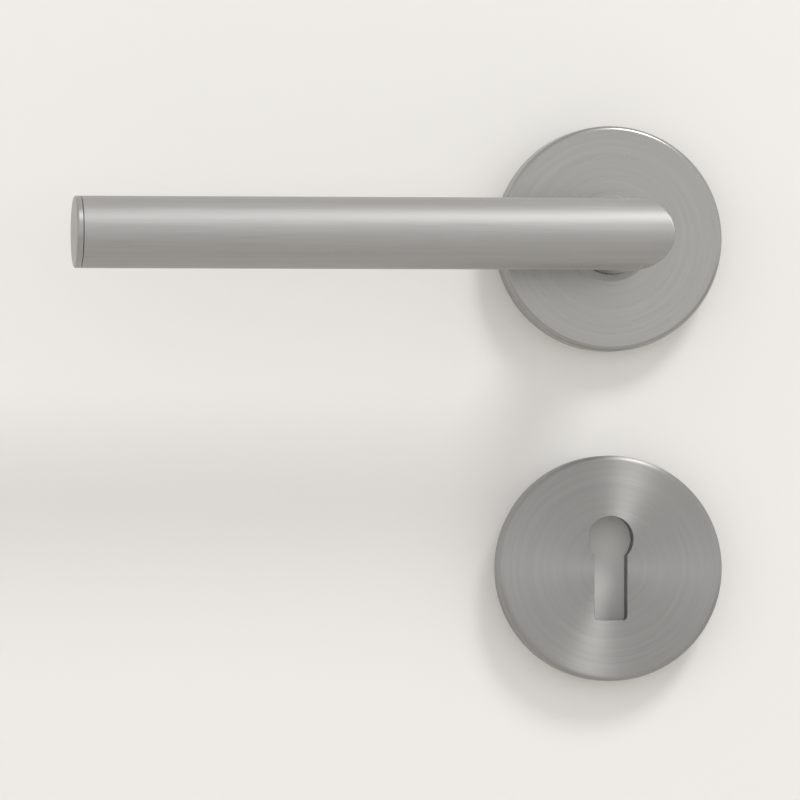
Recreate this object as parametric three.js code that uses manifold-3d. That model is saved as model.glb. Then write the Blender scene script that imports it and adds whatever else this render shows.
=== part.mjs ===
// Door lever handle set for an interior door: two straight tubular levers on one square
// spindle, each turning in a sprung round rose, and a round key escutcheon on each face.
//
// Frame, in millimetres: the origin is on the spindle's axis at the middle of the door's
// thickness. +X is to the right seen from the front, +Z is up and the front set is on the
// -Y side. Both levers point along -X.
//
// Across the door a place is given as a depth: the distance from the door's mid-plane,
// counted outwards on either face. A side is -1 on the front face and +1 on the back face.
// Flat outlines are drawn in x and z as seen from the front, with angles in degrees from +X
// towards +Z, which is also the way that the levers turn when their tips are pressed down.

import * as THREE from "three";
import { mergeVertices } from "three/addons/utils/BufferGeometryUtils.js";
import Module from "manifold-3d";

const manifold = await Module();
manifold.setup();

// ---- Driving dimensions --------------------------------------------------------------------

const DOOR_FACE = 20; // depth of the door's faces: a 40 mm door

const ROSE_RADIUS = 27;
const ROSE_DEPTH = 9;
const COVER_WALL = 1;
const COVER_EDGE_RADIUS = 1.1;

const GRIP_RADIUS = 8.5;
const GRIP_WALL = 1.5;
const GRIP_REACH = 133; // spindle axis to the tip
const GRIP_STANDOFF = 47.5; // door face to the grip's axis
const TIP_CAP_THICKNESS = 1.5;
const TIP_EDGE_RADIUS = 0.4;
const TIP_PLUG_LENGTH = 5;
const TIP_PLUG_CHAMFER = 0.5;

const SPINDLE_WIDTH = 8;
const SPINDLE_CHAMFER = 0.6;
const SPINDLE_LENGTH = 104;
const SOCKET_WIDTH = 8.2;

const HUB_RADIUS = 7.5; // the part of the neck that turns in the bush
const BOLT_SPACING = 38; // between the two through bolts of each rose
const KEY_AXIS_DROP = 72; // spindle axis to key axis
const KEY_AXIS_RISE = 7; // key axis above the escutcheon's centre

const LEVER_TRAVEL = 40; // degrees
const SEAT_GAP = 0.05; // between pieces that are held against each other
const RUNNING_GAP = 0.1;
const TURNING_GAP = 0.15; // round pieces that turn in free air
const FITTING_GAP = 0.3;
const INNER_CUT = 1; // a cutter starts this far past a face, and a solid to be bored starts at this radius

// ---- Sizes that follow from them -----------------------------------------------------------

const GRIP_DEPTH = DOOR_FACE + GRIP_STANDOFF;
const GRIP_BORE = GRIP_RADIUS - GRIP_WALL;
const ROSE_FACE = DOOR_FACE + ROSE_DEPTH;
const COVER_INSIDE = ROSE_FACE - COVER_WALL;
const COVER_BORE = ROSE_RADIUS - COVER_WALL;
const ESCUTCHEON_DROP = KEY_AXIS_DROP + KEY_AXIS_RISE;

const CARRIER_RADIUS = COVER_BORE - FITTING_GAP;
const CARRIER_FACE = COVER_INSIDE - 1.2;

// Four open pockets between the bolts keep each carrier's walls even.
const LEVER_POCKETS = { inside: 19.2, outside: 23.8 };
const KEY_POCKETS = { inside: 16.6, outside: 23.6 };
const POCKETS_START = 22; // the first one's angle, and a quarter turn to the next
const POCKETS_SWEEP = 46;
const POCKETS_FLOOR = DOOR_FACE + 2.4;

// The bush, the washer and the retaining ring lie one behind the other in the carrier.
const BUSH_OUTSIDE = HUB_RADIUS + RUNNING_GAP + 1.6;
const BUSH_FLANGE = BUSH_OUTSIDE + 1.2;
const BUSH_FLANGE_THICKNESS = 0.6;
const RECESS_RADIUS = 10.2; // behind the web, for the retaining ring
const RECESS_FLOOR = DOOR_FACE + 2.5;
const WEB_FACE = CARRIER_FACE - 0.4;
const RING_BACK = DOOR_FACE + 0.5;
const RING_THICKNESS = 1;
const RING_WIDTH = 2.2;
const RING_HALF_GAP = 24; // degrees
const EYE_RADIUS = 1.3;
const EYE_ANGLE = 4; // from the ring's end
const WASHER_GAP = 0.2;
const GROOVE_RADIUS = 6.6;
const HUB_END = DOOR_FACE - 0.6;
const HUB_SHOULDER = COVER_INSIDE - RUNNING_GAP;
const PLUG_RADIUS = GRIP_BORE - TURNING_GAP;
const VENT_RADIUS = 1; // lets the air out as the socket is pressed into the tube
const SOCKET_FLOOR = SPINDLE_LENGTH / 2 + 2;
const SOCKET_END = SOCKET_FLOOR + 2;

const DRIVER_BACK = CARRIER_FACE + 0.35;
const DRIVER_THICKNESS = 0.6;
const DRIVER_RADIUS = 15.4;
const EAR_RADIUS = 17.9;
const EAR_HALF_ANGLE = 9;
const STOP_ANGLE = 12;
const STOP_GAP_ANGLE = 1;
const FLAT_WIDTH = 13.5; // across the hub's two flats

const SPRING_INSIDE = 10.95;
const SPRING_OUTSIDE = 13.7;
const SPRING_WIRE = 1.2;
const POCKET_INSIDE = 10.8;
const POCKET_OUTSIDE = DRIVER_RADIUS + 0.2;
const POCKET_FLOOR = DOOR_FACE + 2.2;
const SPRING_BACK = POCKET_FLOOR + 0.4;
const SPRING_FACE = CARRIER_FACE - 0.2;
const TAB_ANGLE = 180;
const TAB_HALF_ANGLE = 7;
const TAB_LENGTH = 2.8;
const MOVING_LEG_ANGLE = 191;
const FIXED_LEG_ANGLE = 120;
const FIXED_LEG_END = 17;

const BOLT_RADIUS = 2;
const BOLT_HEAD_RADIUS = 3.5;
const BOLT_HEAD_HEIGHT = 2.4;
const HEAD_SEAT = CARRIER_FACE - 3.4;
const DRIVER_SLOT_WIDTH = 1;
const DRIVER_SLOT_DEPTH = 1.1;
const SLEEVE_RADIUS = 2.9;
const BOLT_TIP = -15; // on the sleeve's side of the mid-plane
const SLEEVE_MOUTH = 2;
const POST_RADIUS = 4;
const POST_END = DOOR_FACE - 6;

const GRUB_DEPTH = DOOR_FACE + 18;
const GRUB_RADIUS = 2.4;
const HEXAGON_RADIUS = 1.44; // over the corners of a 2.5 mm key
const HEXAGON_DEPTH = 2.2;

const KEYHOLE_BOW_RADIUS = 5.5;
const KEYHOLE_SLOT_WIDTH = 8;
const KEYHOLE_HEIGHT = 25;
const KEYHOLE_CORNER = 1.2;
const KEYHOLE_CLEARANCE = 0.5; // the carrier's keyhole is this much wider all round
const KEYHOLE_COLLAR = 1.6;

const FINE = 36; // facets round the roses
const MEDIUM = 24; // round the bars and what turns on them
const SMALL = 12; // round the screws

// ---- Materials -----------------------------------------------------------------------------

const metal = (color, roughness) =>
  new THREE.MeshStandardMaterial({ color, roughness, metalness: 1 });
const plastic = (color, roughness) =>
  new THREE.MeshStandardMaterial({ color, roughness, metalness: 0 });

const satinStainless = () => metal(0xa3a29e, 0.38);
const turnedSteel = () => metal(0x8f9193, 0.45);
const zincCasting = () => metal(0x8a8d90, 0.6);
const springSteel = () => metal(0x5f6266, 0.35);
const platedSteel = () => metal(0xb9bcbf, 0.3);
const naturalNylon = () => plastic(0xd9d5c9, 0.55);
const greyNylon = () => plastic(0x6d6f70, 0.6);

// ---- Solids from three.js geometry ---------------------------------------------------------

// A manifold solid from a closed three.js geometry.
function solid(geometry) {
  geometry.deleteAttribute("normal");
  geometry.deleteAttribute("uv");
  const merged = mergeVertices(geometry, 1e-4);
  const corners = merged.index.array;
  const kept = [];
  for (let i = 0; i < corners.length; i += 3) {
    const [a, b, c] = corners.slice(i, i + 3);
    if (a !== b && b !== c && c !== a) kept.push(a, b, c);
  }
  return new manifold.Manifold(
    new manifold.Mesh({
      numProp: 3,
      vertProperties: new Float32Array(merged.attributes.position.array),
      triVerts: new Uint32Array(kept),
    }),
  );
}

// The three.js geometry of a manifold solid.
function geometryOf(shape) {
  const mesh = shape.getMesh();
  const geometry = new THREE.BufferGeometry();
  geometry.setAttribute("position", new THREE.BufferAttribute(mesh.vertProperties, 3));
  geometry.setIndex(new THREE.BufferAttribute(mesh.triVerts, 1));
  geometry.computeVertexNormals();
  return geometry;
}

// A closed outline of [radius, depth] points, or of a path's points, turned about the Y axis.
function turned(outline, side, segments) {
  const points = outline.map(([radius, depth]) => new THREE.Vector2(radius, side * depth));
  if (THREE.ShapeUtils.area(points) < 0) points.reverse();
  points.push(points[0].clone());
  return solid(new THREE.LatheGeometry(points, segments));
}

// A flat outline given thickness across the door, between two depths on one side.
function across(shape, from, to, side) {
  const geometry = new THREE.ExtrudeGeometry(shape, { depth: to - from, bevelEnabled: false });
  geometry.rotateX(Math.PI / 2);
  geometry.translate(0, side > 0 ? to : -from, 0);
  return solid(geometry);
}

// A cylinder along the Z axis at the given depth.
function upright(radius, fromZ, toZ, depth, side, segments) {
  const geometry = new THREE.CylinderGeometry(radius, radius, toZ - fromZ, segments);
  geometry.rotateX(Math.PI / 2);
  geometry.translate(0, side * depth, (fromZ + toZ) / 2);
  return solid(geometry);
}

// ---- Flat outlines, in x and z -------------------------------------------------------------

const onCircle = (radius, degrees, x = 0, z = 0) => {
  const angle = THREE.MathUtils.degToRad(degrees);
  return new THREE.Vector2(x + radius * Math.cos(angle), z + radius * Math.sin(angle));
};

// Points on an arc, both ends included.
function arc(radius, from, to, steps, x = 0, z = 0) {
  return Array.from({ length: steps + 1 }, (_, i) =>
    onCircle(radius, from + ((to - from) * i) / steps, x, z),
  );
}

function disc(radius, segments, x = 0, z = 0) {
  return new THREE.Shape(arc(radius, 0, 360, segments, x, z).slice(0, -1));
}

// A piece of a ring between two radii and two angles.
function sector(inside, outside, from, to) {
  const steps = Math.max(1, Math.ceil((Math.abs(to - from) * FINE) / 360));
  return new THREE.Shape([...arc(outside, from, to, steps), ...arc(inside, to, from, steps)]);
}

function rectangle(width, height, x = 0, z = 0, chamfer = 0) {
  const points = [];
  for (const [right, up] of [[-1, -1], [1, -1], [1, 1], [-1, 1]]) {
    const cornerX = x + (right * width) / 2;
    const cornerZ = z + (up * height) / 2;
    if (chamfer === 0) {
      points.push(new THREE.Vector2(cornerX, cornerZ));
      continue;
    }
    const alongX = new THREE.Vector2(cornerX - right * chamfer, cornerZ);
    const alongZ = new THREE.Vector2(cornerX, cornerZ - up * chamfer);
    points.push(...(right === up ? [alongZ, alongX] : [alongX, alongZ]));
  }
  return new THREE.Shape(points);
}

// A bar pointing outwards from the axis: the outline of a spring's leg or its slot.
function spoke(inside, outside, degrees, width) {
  const sideways = onCircle(width / 2, degrees + 90);
  const [near, far] = [onCircle(inside, degrees), onCircle(outside, degrees)];
  return new THREE.Shape([
    near.clone().sub(sideways),
    far.clone().sub(sideways),
    far.clone().add(sideways),
    near.clone().add(sideways),
  ]);
}

// A keyhole about the escutcheon's centre: a round bow above a straight slot. margin widens it.
function keyhole(margin) {
  const bow = KEYHOLE_BOW_RADIUS + margin;
  const slot = KEYHOLE_SLOT_WIDTH / 2 + margin;
  const foot = KEY_AXIS_RISE + KEYHOLE_BOW_RADIUS - KEYHOLE_HEIGHT - margin;
  const corner = KEYHOLE_CORNER;
  const waist = THREE.MathUtils.radToDeg(Math.asin(slot / bow));
  return new THREE.Shape([
    ...arc(bow, waist - 90, 270 - waist, 14, 0, KEY_AXIS_RISE),
    ...arc(corner, 180, 270, 2, corner - slot, foot + corner),
    ...arc(corner, 270, 360, 2, slot - corner, foot + corner),
  ]);
}

const boltPlaces = [
  { level: "upper", z: BOLT_SPACING / 2 },
  { level: "lower", z: -BOLT_SPACING / 2 },
];

// ---- The lever: grip tube, tip cap and neck socket -----------------------------------------

// Two equal bars meeting in a mitred corner: one along -X, one along Y towards the door.
function mitredBar(radius, reach, innerDepth, side) {
  const grip = new THREE.CylinderGeometry(radius, radius, reach, MEDIUM);
  grip.rotateZ(Math.PI / 2);
  grip.translate(-reach / 2, side * GRIP_DEPTH, 0);

  const through = new THREE.CylinderGeometry(radius, radius, 4 * radius, MEDIUM);
  through.rotateZ(Math.PI / 2);
  through.translate(0, side * GRIP_DEPTH, 0);

  const neck = across(disc(radius, MEDIUM), innerDepth, GRIP_DEPTH, side);
  const longNeck = across(disc(radius, MEDIUM), innerDepth, GRIP_DEPTH + 2 * radius, side);
  const corner = solid(through).intersect(longNeck);
  return solid(grip).add(neck).add(corner);
}

function leverTube(side) {
  const capSeat = GRIP_REACH - TIP_CAP_THICKNESS - RUNNING_GAP;
  const outside = mitredBar(GRIP_RADIUS, capSeat, HUB_SHOULDER + RUNNING_GAP, side);
  const inside = mitredBar(GRIP_BORE, capSeat + INNER_CUT, DOOR_FACE, side);
  const grubHole = upright(GRUB_RADIUS + FITTING_GAP, -2 * GRIP_RADIUS, 0, GRUB_DEPTH, side, SMALL);
  return outside.subtract(inside).subtract(grubHole);
}

function tipCap(side) {
  const plug = GRIP_BORE - RUNNING_GAP;
  const seat = GRIP_REACH - TIP_CAP_THICKNESS;
  const edge = TIP_EDGE_RADIUS;
  const rim = arc(edge, 0, 90, 1, GRIP_RADIUS - edge, GRIP_REACH - edge);
  const plugEnd = seat - TIP_PLUG_LENGTH;
  const profile = [
    [0, plugEnd],
    [plug - TIP_PLUG_CHAMFER, plugEnd],
    [plug, plugEnd + TIP_PLUG_CHAMFER],
    [plug, seat],
    [GRIP_RADIUS, seat],
    ...rim.map(({ x, y }) => [x, y]),
    [0, GRIP_REACH],
  ];
  const points = profile.map(([radius, along]) => new THREE.Vector2(radius, along));
  const geometry = new THREE.LatheGeometry(points, MEDIUM);
  geometry.rotateZ(Math.PI / 2);
  geometry.translate(0, side * GRIP_DEPTH, 0);
  return solid(geometry);
}

// The sleeve pressed into the neck: it takes the spindle and turns in the rose's bush.
function neckSocket(side) {
  const grooveBack = RING_BACK - RUNNING_GAP;
  const grooveFace = RING_BACK + RING_THICKNESS + RUNNING_GAP;
  const body = turned(
    [
      [VENT_RADIUS, HUB_END],
      [HUB_RADIUS, HUB_END],
      [HUB_RADIUS, grooveBack],
      [GROOVE_RADIUS, grooveBack],
      [GROOVE_RADIUS, grooveFace],
      [HUB_RADIUS, grooveFace],
      [HUB_RADIUS, HUB_SHOULDER],
      [PLUG_RADIUS, HUB_SHOULDER],
      [PLUG_RADIUS, SOCKET_END],
      [VENT_RADIUS, SOCKET_END],
    ],
    side,
    MEDIUM,
  );
  const socket = rectangle(SOCKET_WIDTH, SOCKET_WIDTH);
  const flats = rectangle(4 * HUB_RADIUS, 4 * HUB_RADIUS);
  flats.holes.push(rectangle(3 * HUB_RADIUS, FLAT_WIDTH));
  const flatsBack = DRIVER_BACK - RUNNING_GAP;
  return body
    .subtract(across(socket, HUB_END - INNER_CUT, SOCKET_FLOOR, side))
    .subtract(across(flats, flatsBack, HUB_SHOULDER, side))
    .subtract(upright(GRUB_RADIUS + RUNNING_GAP, -2 * HUB_RADIUS, 0, GRUB_DEPTH, side, SMALL));
}

// A headless screw with a hexagon socket, up through the neck against the spindle.
function grubScrew(side) {
  const mouth = -(GRIP_RADIUS - FITTING_GAP);
  const point = -(SPINDLE_WIDTH / 2 + TURNING_GAP);
  const floor = mouth + HEXAGON_DEPTH;
  const screw = upright(GRUB_RADIUS, mouth, point, GRUB_DEPTH, side, SMALL);
  return screw.subtract(upright(HEXAGON_RADIUS, mouth - INNER_CUT, floor, GRUB_DEPTH, side, 6));
}

function spindle() {
  const bar = rectangle(SPINDLE_WIDTH, SPINDLE_WIDTH, 0, 0, SPINDLE_CHAMFER);
  return across(bar, -SPINDLE_LENGTH / 2, SPINDLE_LENGTH / 2, 1);
}

// ---- The rose: cover, guide ring, carrier, bush, driver, spring, washer, ring --------------

// The thin cup's outline, with its centre opening at the given radius.
function coverOutline(opening) {
  const edge = COVER_EDGE_RADIUS;
  const rim = arc(edge, 90, 0, 3, ROSE_RADIUS - edge, ROSE_FACE - edge);
  return [
    [opening, COVER_INSIDE],
    [opening, ROSE_FACE],
    ...rim.map(({ x, y }) => [x, y]),
    [ROSE_RADIUS, DOOR_FACE],
    [COVER_BORE, DOOR_FACE],
    [COVER_BORE, COVER_INSIDE],
  ];
}

const GUIDE_INSIDE = GRIP_RADIUS + TURNING_GAP;
const GUIDE_OUTSIDE = GUIDE_INSIDE + 0.95;
const BEAD_RADIUS = GUIDE_OUTSIDE + 0.7;
const BEAD_BACK = ROSE_FACE + SEAT_GAP;
const BEAD_FACE = BEAD_BACK + 0.4;

function roseCover(side) {
  return turned(coverOutline(GUIDE_OUTSIDE + RUNNING_GAP), side, FINE);
}

function guideRing(side) {
  return turned(
    [
      [GUIDE_INSIDE, COVER_INSIDE],
      [GUIDE_OUTSIDE, COVER_INSIDE],
      [GUIDE_OUTSIDE, BEAD_BACK],
      [BEAD_RADIUS, BEAD_BACK],
      [BEAD_RADIUS, BEAD_FACE],
      [GUIDE_INSIDE, BEAD_FACE],
    ],
    side,
    MEDIUM,
  );
}

// Two posts that reach into the door and the through holes with sunk seats for the heads.
function withBoltSeats(body, side) {
  const holeRadius = side < 0 ? SLEEVE_RADIUS + FITTING_GAP : BOLT_RADIUS + FITTING_GAP;
  let result = body;
  for (const { z } of boltPlaces) {
    const post = across(disc(POST_RADIUS, SMALL, 0, z), POST_END, DOOR_FACE + INNER_CUT, side);
    const seatRadius = BOLT_HEAD_RADIUS + FITTING_GAP;
    const past = CARRIER_FACE + INNER_CUT;
    const hole = across(disc(holeRadius, SMALL, 0, z), POST_END - INNER_CUT, past, side);
    const seat = across(disc(seatRadius, SMALL, 0, z), HEAD_SEAT, past, side);
    result = result.add(post).subtract(hole).subtract(seat);
  }
  return result;
}

function withPockets(body, { inside, outside }, side) {
  let result = body;
  for (let quarter = 0; quarter < 4; quarter++) {
    const start = POCKETS_START + 90 * quarter;
    const pocket = sector(inside, outside, start, start + POCKETS_SWEEP);
    result = result.subtract(across(pocket, POCKETS_FLOOR, CARRIER_FACE + INNER_CUT, side));
  }
  return result;
}

function roseCarrier(side) {
  const casting = turned(
    [
      [RECESS_RADIUS, DOOR_FACE],
      [CARRIER_RADIUS, DOOR_FACE],
      [CARRIER_RADIUS, CARRIER_FACE],
      [POCKET_OUTSIDE, CARRIER_FACE],
      [POCKET_OUTSIDE, POCKET_FLOOR],
      [POCKET_INSIDE, POCKET_FLOOR],
      [POCKET_INSIDE, WEB_FACE],
      [BUSH_OUTSIDE + RUNNING_GAP, WEB_FACE],
      [BUSH_OUTSIDE + RUNNING_GAP, RECESS_FLOOR],
      [RECESS_RADIUS, RECESS_FLOOR],
    ],
    side,
    FINE,
  );
  const stopInside = POCKET_OUTSIDE + 0.3;
  const stopOutside = EAR_RADIUS + 0.6;
  const restStop = -(EAR_HALF_ANGLE + STOP_GAP_ANGLE);
  const endStop = LEVER_TRAVEL + EAR_HALF_ANGLE + STOP_GAP_ANGLE;
  const stop = (angle) => {
    const pad = sector(stopInside, stopOutside, angle, angle + STOP_ANGLE);
    return across(pad, CARRIER_FACE - INNER_CUT, HUB_SHOULDER, side);
  };
  const slotEnd = FIXED_LEG_END + FITTING_GAP;
  const slotWidth = SPRING_WIRE + 2 * FITTING_GAP;
  const legSlot = spoke(POCKET_OUTSIDE - INNER_CUT, slotEnd, FIXED_LEG_ANGLE, slotWidth);
  return withPockets(withBoltSeats(casting, side), LEVER_POCKETS, side)
    .add(stop(restStop - STOP_ANGLE))
    .add(stop(endStop))
    .subtract(across(legSlot, POCKET_FLOOR, CARRIER_FACE + INNER_CUT, side));
}

function neckBush(side) {
  const bore = HUB_RADIUS + RUNNING_GAP;
  const flangeBack = WEB_FACE + SEAT_GAP;
  const flangeFace = flangeBack + BUSH_FLANGE_THICKNESS;
  return turned(
    [
      [bore, RECESS_FLOOR],
      [BUSH_OUTSIDE, RECESS_FLOOR],
      [BUSH_OUTSIDE, flangeBack],
      [BUSH_FLANGE, flangeBack],
      [BUSH_FLANGE, flangeFace],
      [bore, flangeFace],
    ],
    side,
    MEDIUM,
  );
}

// The plate that turns with the neck. Its ear moves between the carrier's two stops, and its
// tab reaches down into the pocket to push the spring's leg.
function driverPlate(side) {
  const driverFace = DRIVER_BACK + DRIVER_THICKNESS;
  const plate = across(disc(DRIVER_RADIUS, FINE), DRIVER_BACK, driverFace, side);
  const ear = sector(DRIVER_RADIUS - 1, EAR_RADIUS, -EAR_HALF_ANGLE, EAR_HALF_ANGLE);
  const tab = sector(
    SPRING_OUTSIDE + FITTING_GAP,
    DRIVER_RADIUS - RUNNING_GAP,
    TAB_ANGLE - TAB_HALF_ANGLE,
    TAB_ANGLE + TAB_HALF_ANGLE,
  );
  const [holeBack, holeFace] = [DRIVER_BACK - INNER_CUT, driverFace + INNER_CUT];
  const bore = across(disc(HUB_RADIUS + RUNNING_GAP, MEDIUM), holeBack, holeFace, side);
  const slot = rectangle(3 * HUB_RADIUS, FLAT_WIDTH + FITTING_GAP);
  return plate
    .add(across(ear, DRIVER_BACK, driverFace, side))
    .add(across(tab, DRIVER_BACK - TAB_LENGTH, driverFace, side))
    .subtract(bore.intersect(across(slot, holeBack, holeFace, side)));
}

// The torsion spring as the ring that its coils fill, with its two legs.
function returnSpring(side) {
  const coils = turned(
    [
      [SPRING_INSIDE, SPRING_BACK],
      [SPRING_OUTSIDE, SPRING_BACK],
      [SPRING_OUTSIDE, SPRING_FACE],
      [SPRING_INSIDE, SPRING_FACE],
    ],
    side,
    MEDIUM,
  );
  const inCoil = SPRING_OUTSIDE - SPRING_WIRE;
  const movingLeg = spoke(inCoil, DRIVER_RADIUS - 0.2, MOVING_LEG_ANGLE, SPRING_WIRE);
  const fixedLeg = spoke(inCoil, FIXED_LEG_END, FIXED_LEG_ANGLE, SPRING_WIRE);
  return coils
    .add(across(movingLeg, SPRING_FACE - SPRING_WIRE, SPRING_FACE, side))
    .add(across(fixedLeg, SPRING_BACK, SPRING_BACK + SPRING_WIRE, side));
}

function thrustWasher(side) {
  const back = RING_BACK + RING_THICKNESS + WASHER_GAP;
  const face = RECESS_FLOOR - WASHER_GAP;
  return turned(
    [
      [HUB_RADIUS + TURNING_GAP, back],
      [RECESS_RADIUS - FITTING_GAP, back],
      [RECESS_RADIUS - FITTING_GAP, face],
      [HUB_RADIUS + TURNING_GAP, face],
    ],
    side,
    MEDIUM,
  );
}

// An open ring in the hub's groove, with an eye at each end for the pliers.
function retainingRing(side) {
  const inside = GROOVE_RADIUS + RUNNING_GAP;
  const outside = inside + RING_WIDTH;
  const ringFace = RING_BACK + RING_THICKNESS;
  const [first, last] = [RING_HALF_GAP - 90, 270 - RING_HALF_GAP];
  let ring = across(sector(inside, outside, first, last), RING_BACK, ringFace, side);
  for (const angle of [first + EYE_ANGLE, last - EYE_ANGLE]) {
    const { x, y: z } = onCircle(outside - EYE_RADIUS / 3, angle);
    const eye = across(disc(EYE_RADIUS, SMALL, x, z), RING_BACK, ringFace, side);
    const [holeBack, holeFace] = [RING_BACK - INNER_CUT, ringFace + INNER_CUT];
    const hole = across(disc(EYE_RADIUS / 2, 6, x, z), holeBack, holeFace, side);
    ring = ring.add(eye).subtract(hole);
  }
  return ring;
}

// ---- The key escutcheon: cover and carrier -------------------------------------------------

function keyCover(side) {
  const cup = turned(coverOutline(INNER_CUT), side, FINE);
  return cup.subtract(across(keyhole(0), DOOR_FACE, ROSE_FACE + INNER_CUT, side));
}

function keyCarrier(side) {
  const casting = turned(
    [
      [INNER_CUT, DOOR_FACE],
      [CARRIER_RADIUS, DOOR_FACE],
      [CARRIER_RADIUS, CARRIER_FACE],
      [INNER_CUT, CARRIER_FACE],
    ],
    side,
    FINE,
  );
  const rim = keyhole(KEYHOLE_CLEARANCE + KEYHOLE_COLLAR);
  const collar = across(rim, CARRIER_FACE - INNER_CUT, COVER_INSIDE - RUNNING_GAP, side);
  const opening = across(keyhole(KEYHOLE_CLEARANCE), DOOR_FACE - INNER_CUT, ROSE_FACE, side);
  return withPockets(withBoltSeats(casting, side), KEY_POCKETS, side)
    .add(collar)
    .subtract(opening);
}

// ---- Through bolts, with their heads in the back carrier, and sleeve nuts in the front -----

// A head with a straight driver slot, seated in a carrier.
function slottedHead(z, side) {
  const headBack = HEAD_SEAT + RUNNING_GAP;
  const headFace = headBack + BOLT_HEAD_HEIGHT;
  const head = across(disc(BOLT_HEAD_RADIUS, SMALL, 0, z), headBack, headFace, side);
  const slot = rectangle(3 * BOLT_HEAD_RADIUS, DRIVER_SLOT_WIDTH, 0, z);
  return head.subtract(across(slot, headFace - DRIVER_SLOT_DEPTH, headFace + INNER_CUT, side));
}

function throughBolt(z) {
  const shank = across(disc(BOLT_RADIUS, SMALL, 0, z), BOLT_TIP, HEAD_SEAT + INNER_CUT, 1);
  return slottedHead(z, 1).add(shank);
}

function sleeveNut(z) {
  const boreEnd = HEAD_SEAT - 3;
  const boreRadius = BOLT_RADIUS + TURNING_GAP;
  const barrel = across(disc(SLEEVE_RADIUS, SMALL, 0, z), SLEEVE_MOUTH, HEAD_SEAT + INNER_CUT, -1);
  const bore = across(disc(boreRadius, SMALL, 0, z), SLEEVE_MOUTH - INNER_CUT, boreEnd, -1);
  return slottedHead(z, -1).add(barrel).subtract(bore);
}

// ---- Assembly ------------------------------------------------------------------------------

const handleSet = new THREE.Group();
const leverSet = new THREE.Group();
const keySet = new THREE.Group();
keySet.position.z = -ESCUTCHEON_DROP;
handleSet.add(leverSet, keySet);

function place(group, name, shape, material) {
  const mesh = new THREE.Mesh(geometryOf(shape), material);
  mesh.name = name;
  group.add(mesh);
}

place(leverSet, "spindle", spindle(), turnedSteel());

for (const [face, side] of [["front", -1], ["back", 1]]) {
  place(leverSet, `${face}_lever_tube`, leverTube(side), satinStainless());
  place(leverSet, `${face}_tip_cap`, tipCap(side), satinStainless());
  place(leverSet, `${face}_neck_socket`, neckSocket(side), turnedSteel());
  place(leverSet, `${face}_grub_screw`, grubScrew(side), springSteel());
  place(leverSet, `${face}_rose_cover`, roseCover(side), satinStainless());
  place(leverSet, `${face}_guide_ring`, guideRing(side), greyNylon());
  place(leverSet, `${face}_rose_carrier`, roseCarrier(side), zincCasting());
  place(leverSet, `${face}_neck_bush`, neckBush(side), naturalNylon());
  place(leverSet, `${face}_driver_plate`, driverPlate(side), platedSteel());
  place(leverSet, `${face}_return_spring`, returnSpring(side), springSteel());
  place(leverSet, `${face}_thrust_washer`, thrustWasher(side), platedSteel());
  place(leverSet, `${face}_retaining_ring`, retainingRing(side), springSteel());
  place(keySet, `${face}_key_cover`, keyCover(side), satinStainless());
  place(keySet, `${face}_key_carrier`, keyCarrier(side), greyNylon());
}

for (const { level, z } of boltPlaces) {
  place(leverSet, `lever_bolt_${level}`, throughBolt(z), platedSteel());
  place(leverSet, `lever_sleeve_${level}`, sleeveNut(z), platedSteel());
  place(keySet, `key_bolt_${level}`, throughBolt(z), platedSteel());
  place(keySet, `key_sleeve_${level}`, sleeveNut(z), platedSteel());
}

export default handleSet;
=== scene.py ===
"""Door lever handle set in satin stainless steel: its looks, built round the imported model.

Sizes inside the classes are in millimetres, as on a maker's drawing, and meshes are written in
metres. A depth is the distance from the door's mid-plane, counted outwards on either face, and
a flat outline is drawn in x and z as seen from the front.
"""

import logging
import math
from collections.abc import Mapping, Sequence
from dataclasses import dataclass, replace
from enum import Enum

import bpy
import numpy as np
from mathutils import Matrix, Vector


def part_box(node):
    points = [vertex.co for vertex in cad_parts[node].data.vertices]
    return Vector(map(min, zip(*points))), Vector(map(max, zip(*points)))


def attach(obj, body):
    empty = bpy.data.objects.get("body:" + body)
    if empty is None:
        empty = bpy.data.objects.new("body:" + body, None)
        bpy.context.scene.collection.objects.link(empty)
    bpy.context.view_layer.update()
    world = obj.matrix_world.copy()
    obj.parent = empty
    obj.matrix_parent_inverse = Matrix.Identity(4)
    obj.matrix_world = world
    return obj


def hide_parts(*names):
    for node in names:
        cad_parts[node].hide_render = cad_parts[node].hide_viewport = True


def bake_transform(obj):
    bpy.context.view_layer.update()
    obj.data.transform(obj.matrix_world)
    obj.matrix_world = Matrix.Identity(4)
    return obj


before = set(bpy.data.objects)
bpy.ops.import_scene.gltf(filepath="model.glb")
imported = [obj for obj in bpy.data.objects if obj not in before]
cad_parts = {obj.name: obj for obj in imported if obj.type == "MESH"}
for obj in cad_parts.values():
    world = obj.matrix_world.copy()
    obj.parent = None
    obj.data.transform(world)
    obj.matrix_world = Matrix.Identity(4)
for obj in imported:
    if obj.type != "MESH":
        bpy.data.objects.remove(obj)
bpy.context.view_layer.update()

MM = 0.001  # one millimetre in Blender's metres
ROOT_BODY = "door_set"
LEVER_BODY = "levers"
FINE = 128  # facets round the roses
MEDIUM = 96  # round the bars and what turns on them
SMALL = 48  # round the screws
ARC_STEP = 3.0  # degrees between the points along a sector's arcs
SMOOTH_ANGLE = math.radians(38)
PAST = 1.0  # how far a blank reaches past the face that it is joined to or cut from
PIP = 0.2  # the smallest ring, at the middle of a turned end

log = logging.getLogger("handle_set")


class Face(Enum):
    """The door's two faces; the value is the side of the mid-plane, along Y."""

    FRONT = -1
    BACK = 1

    @property
    def label(self) -> str:
        """The word that the face's node names start with."""
        return self.name.lower()


class Ends(Enum):
    """How a stack of rings is closed: onto itself, or with a flat cap at each end."""

    LOOP = "loop"
    CAPPED = "capped"


class Grain(Enum):
    """Which way brushing or turning marks run on a skin: along its rows' path or around it."""

    ALONG = "along"
    AROUND = "around"


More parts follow.
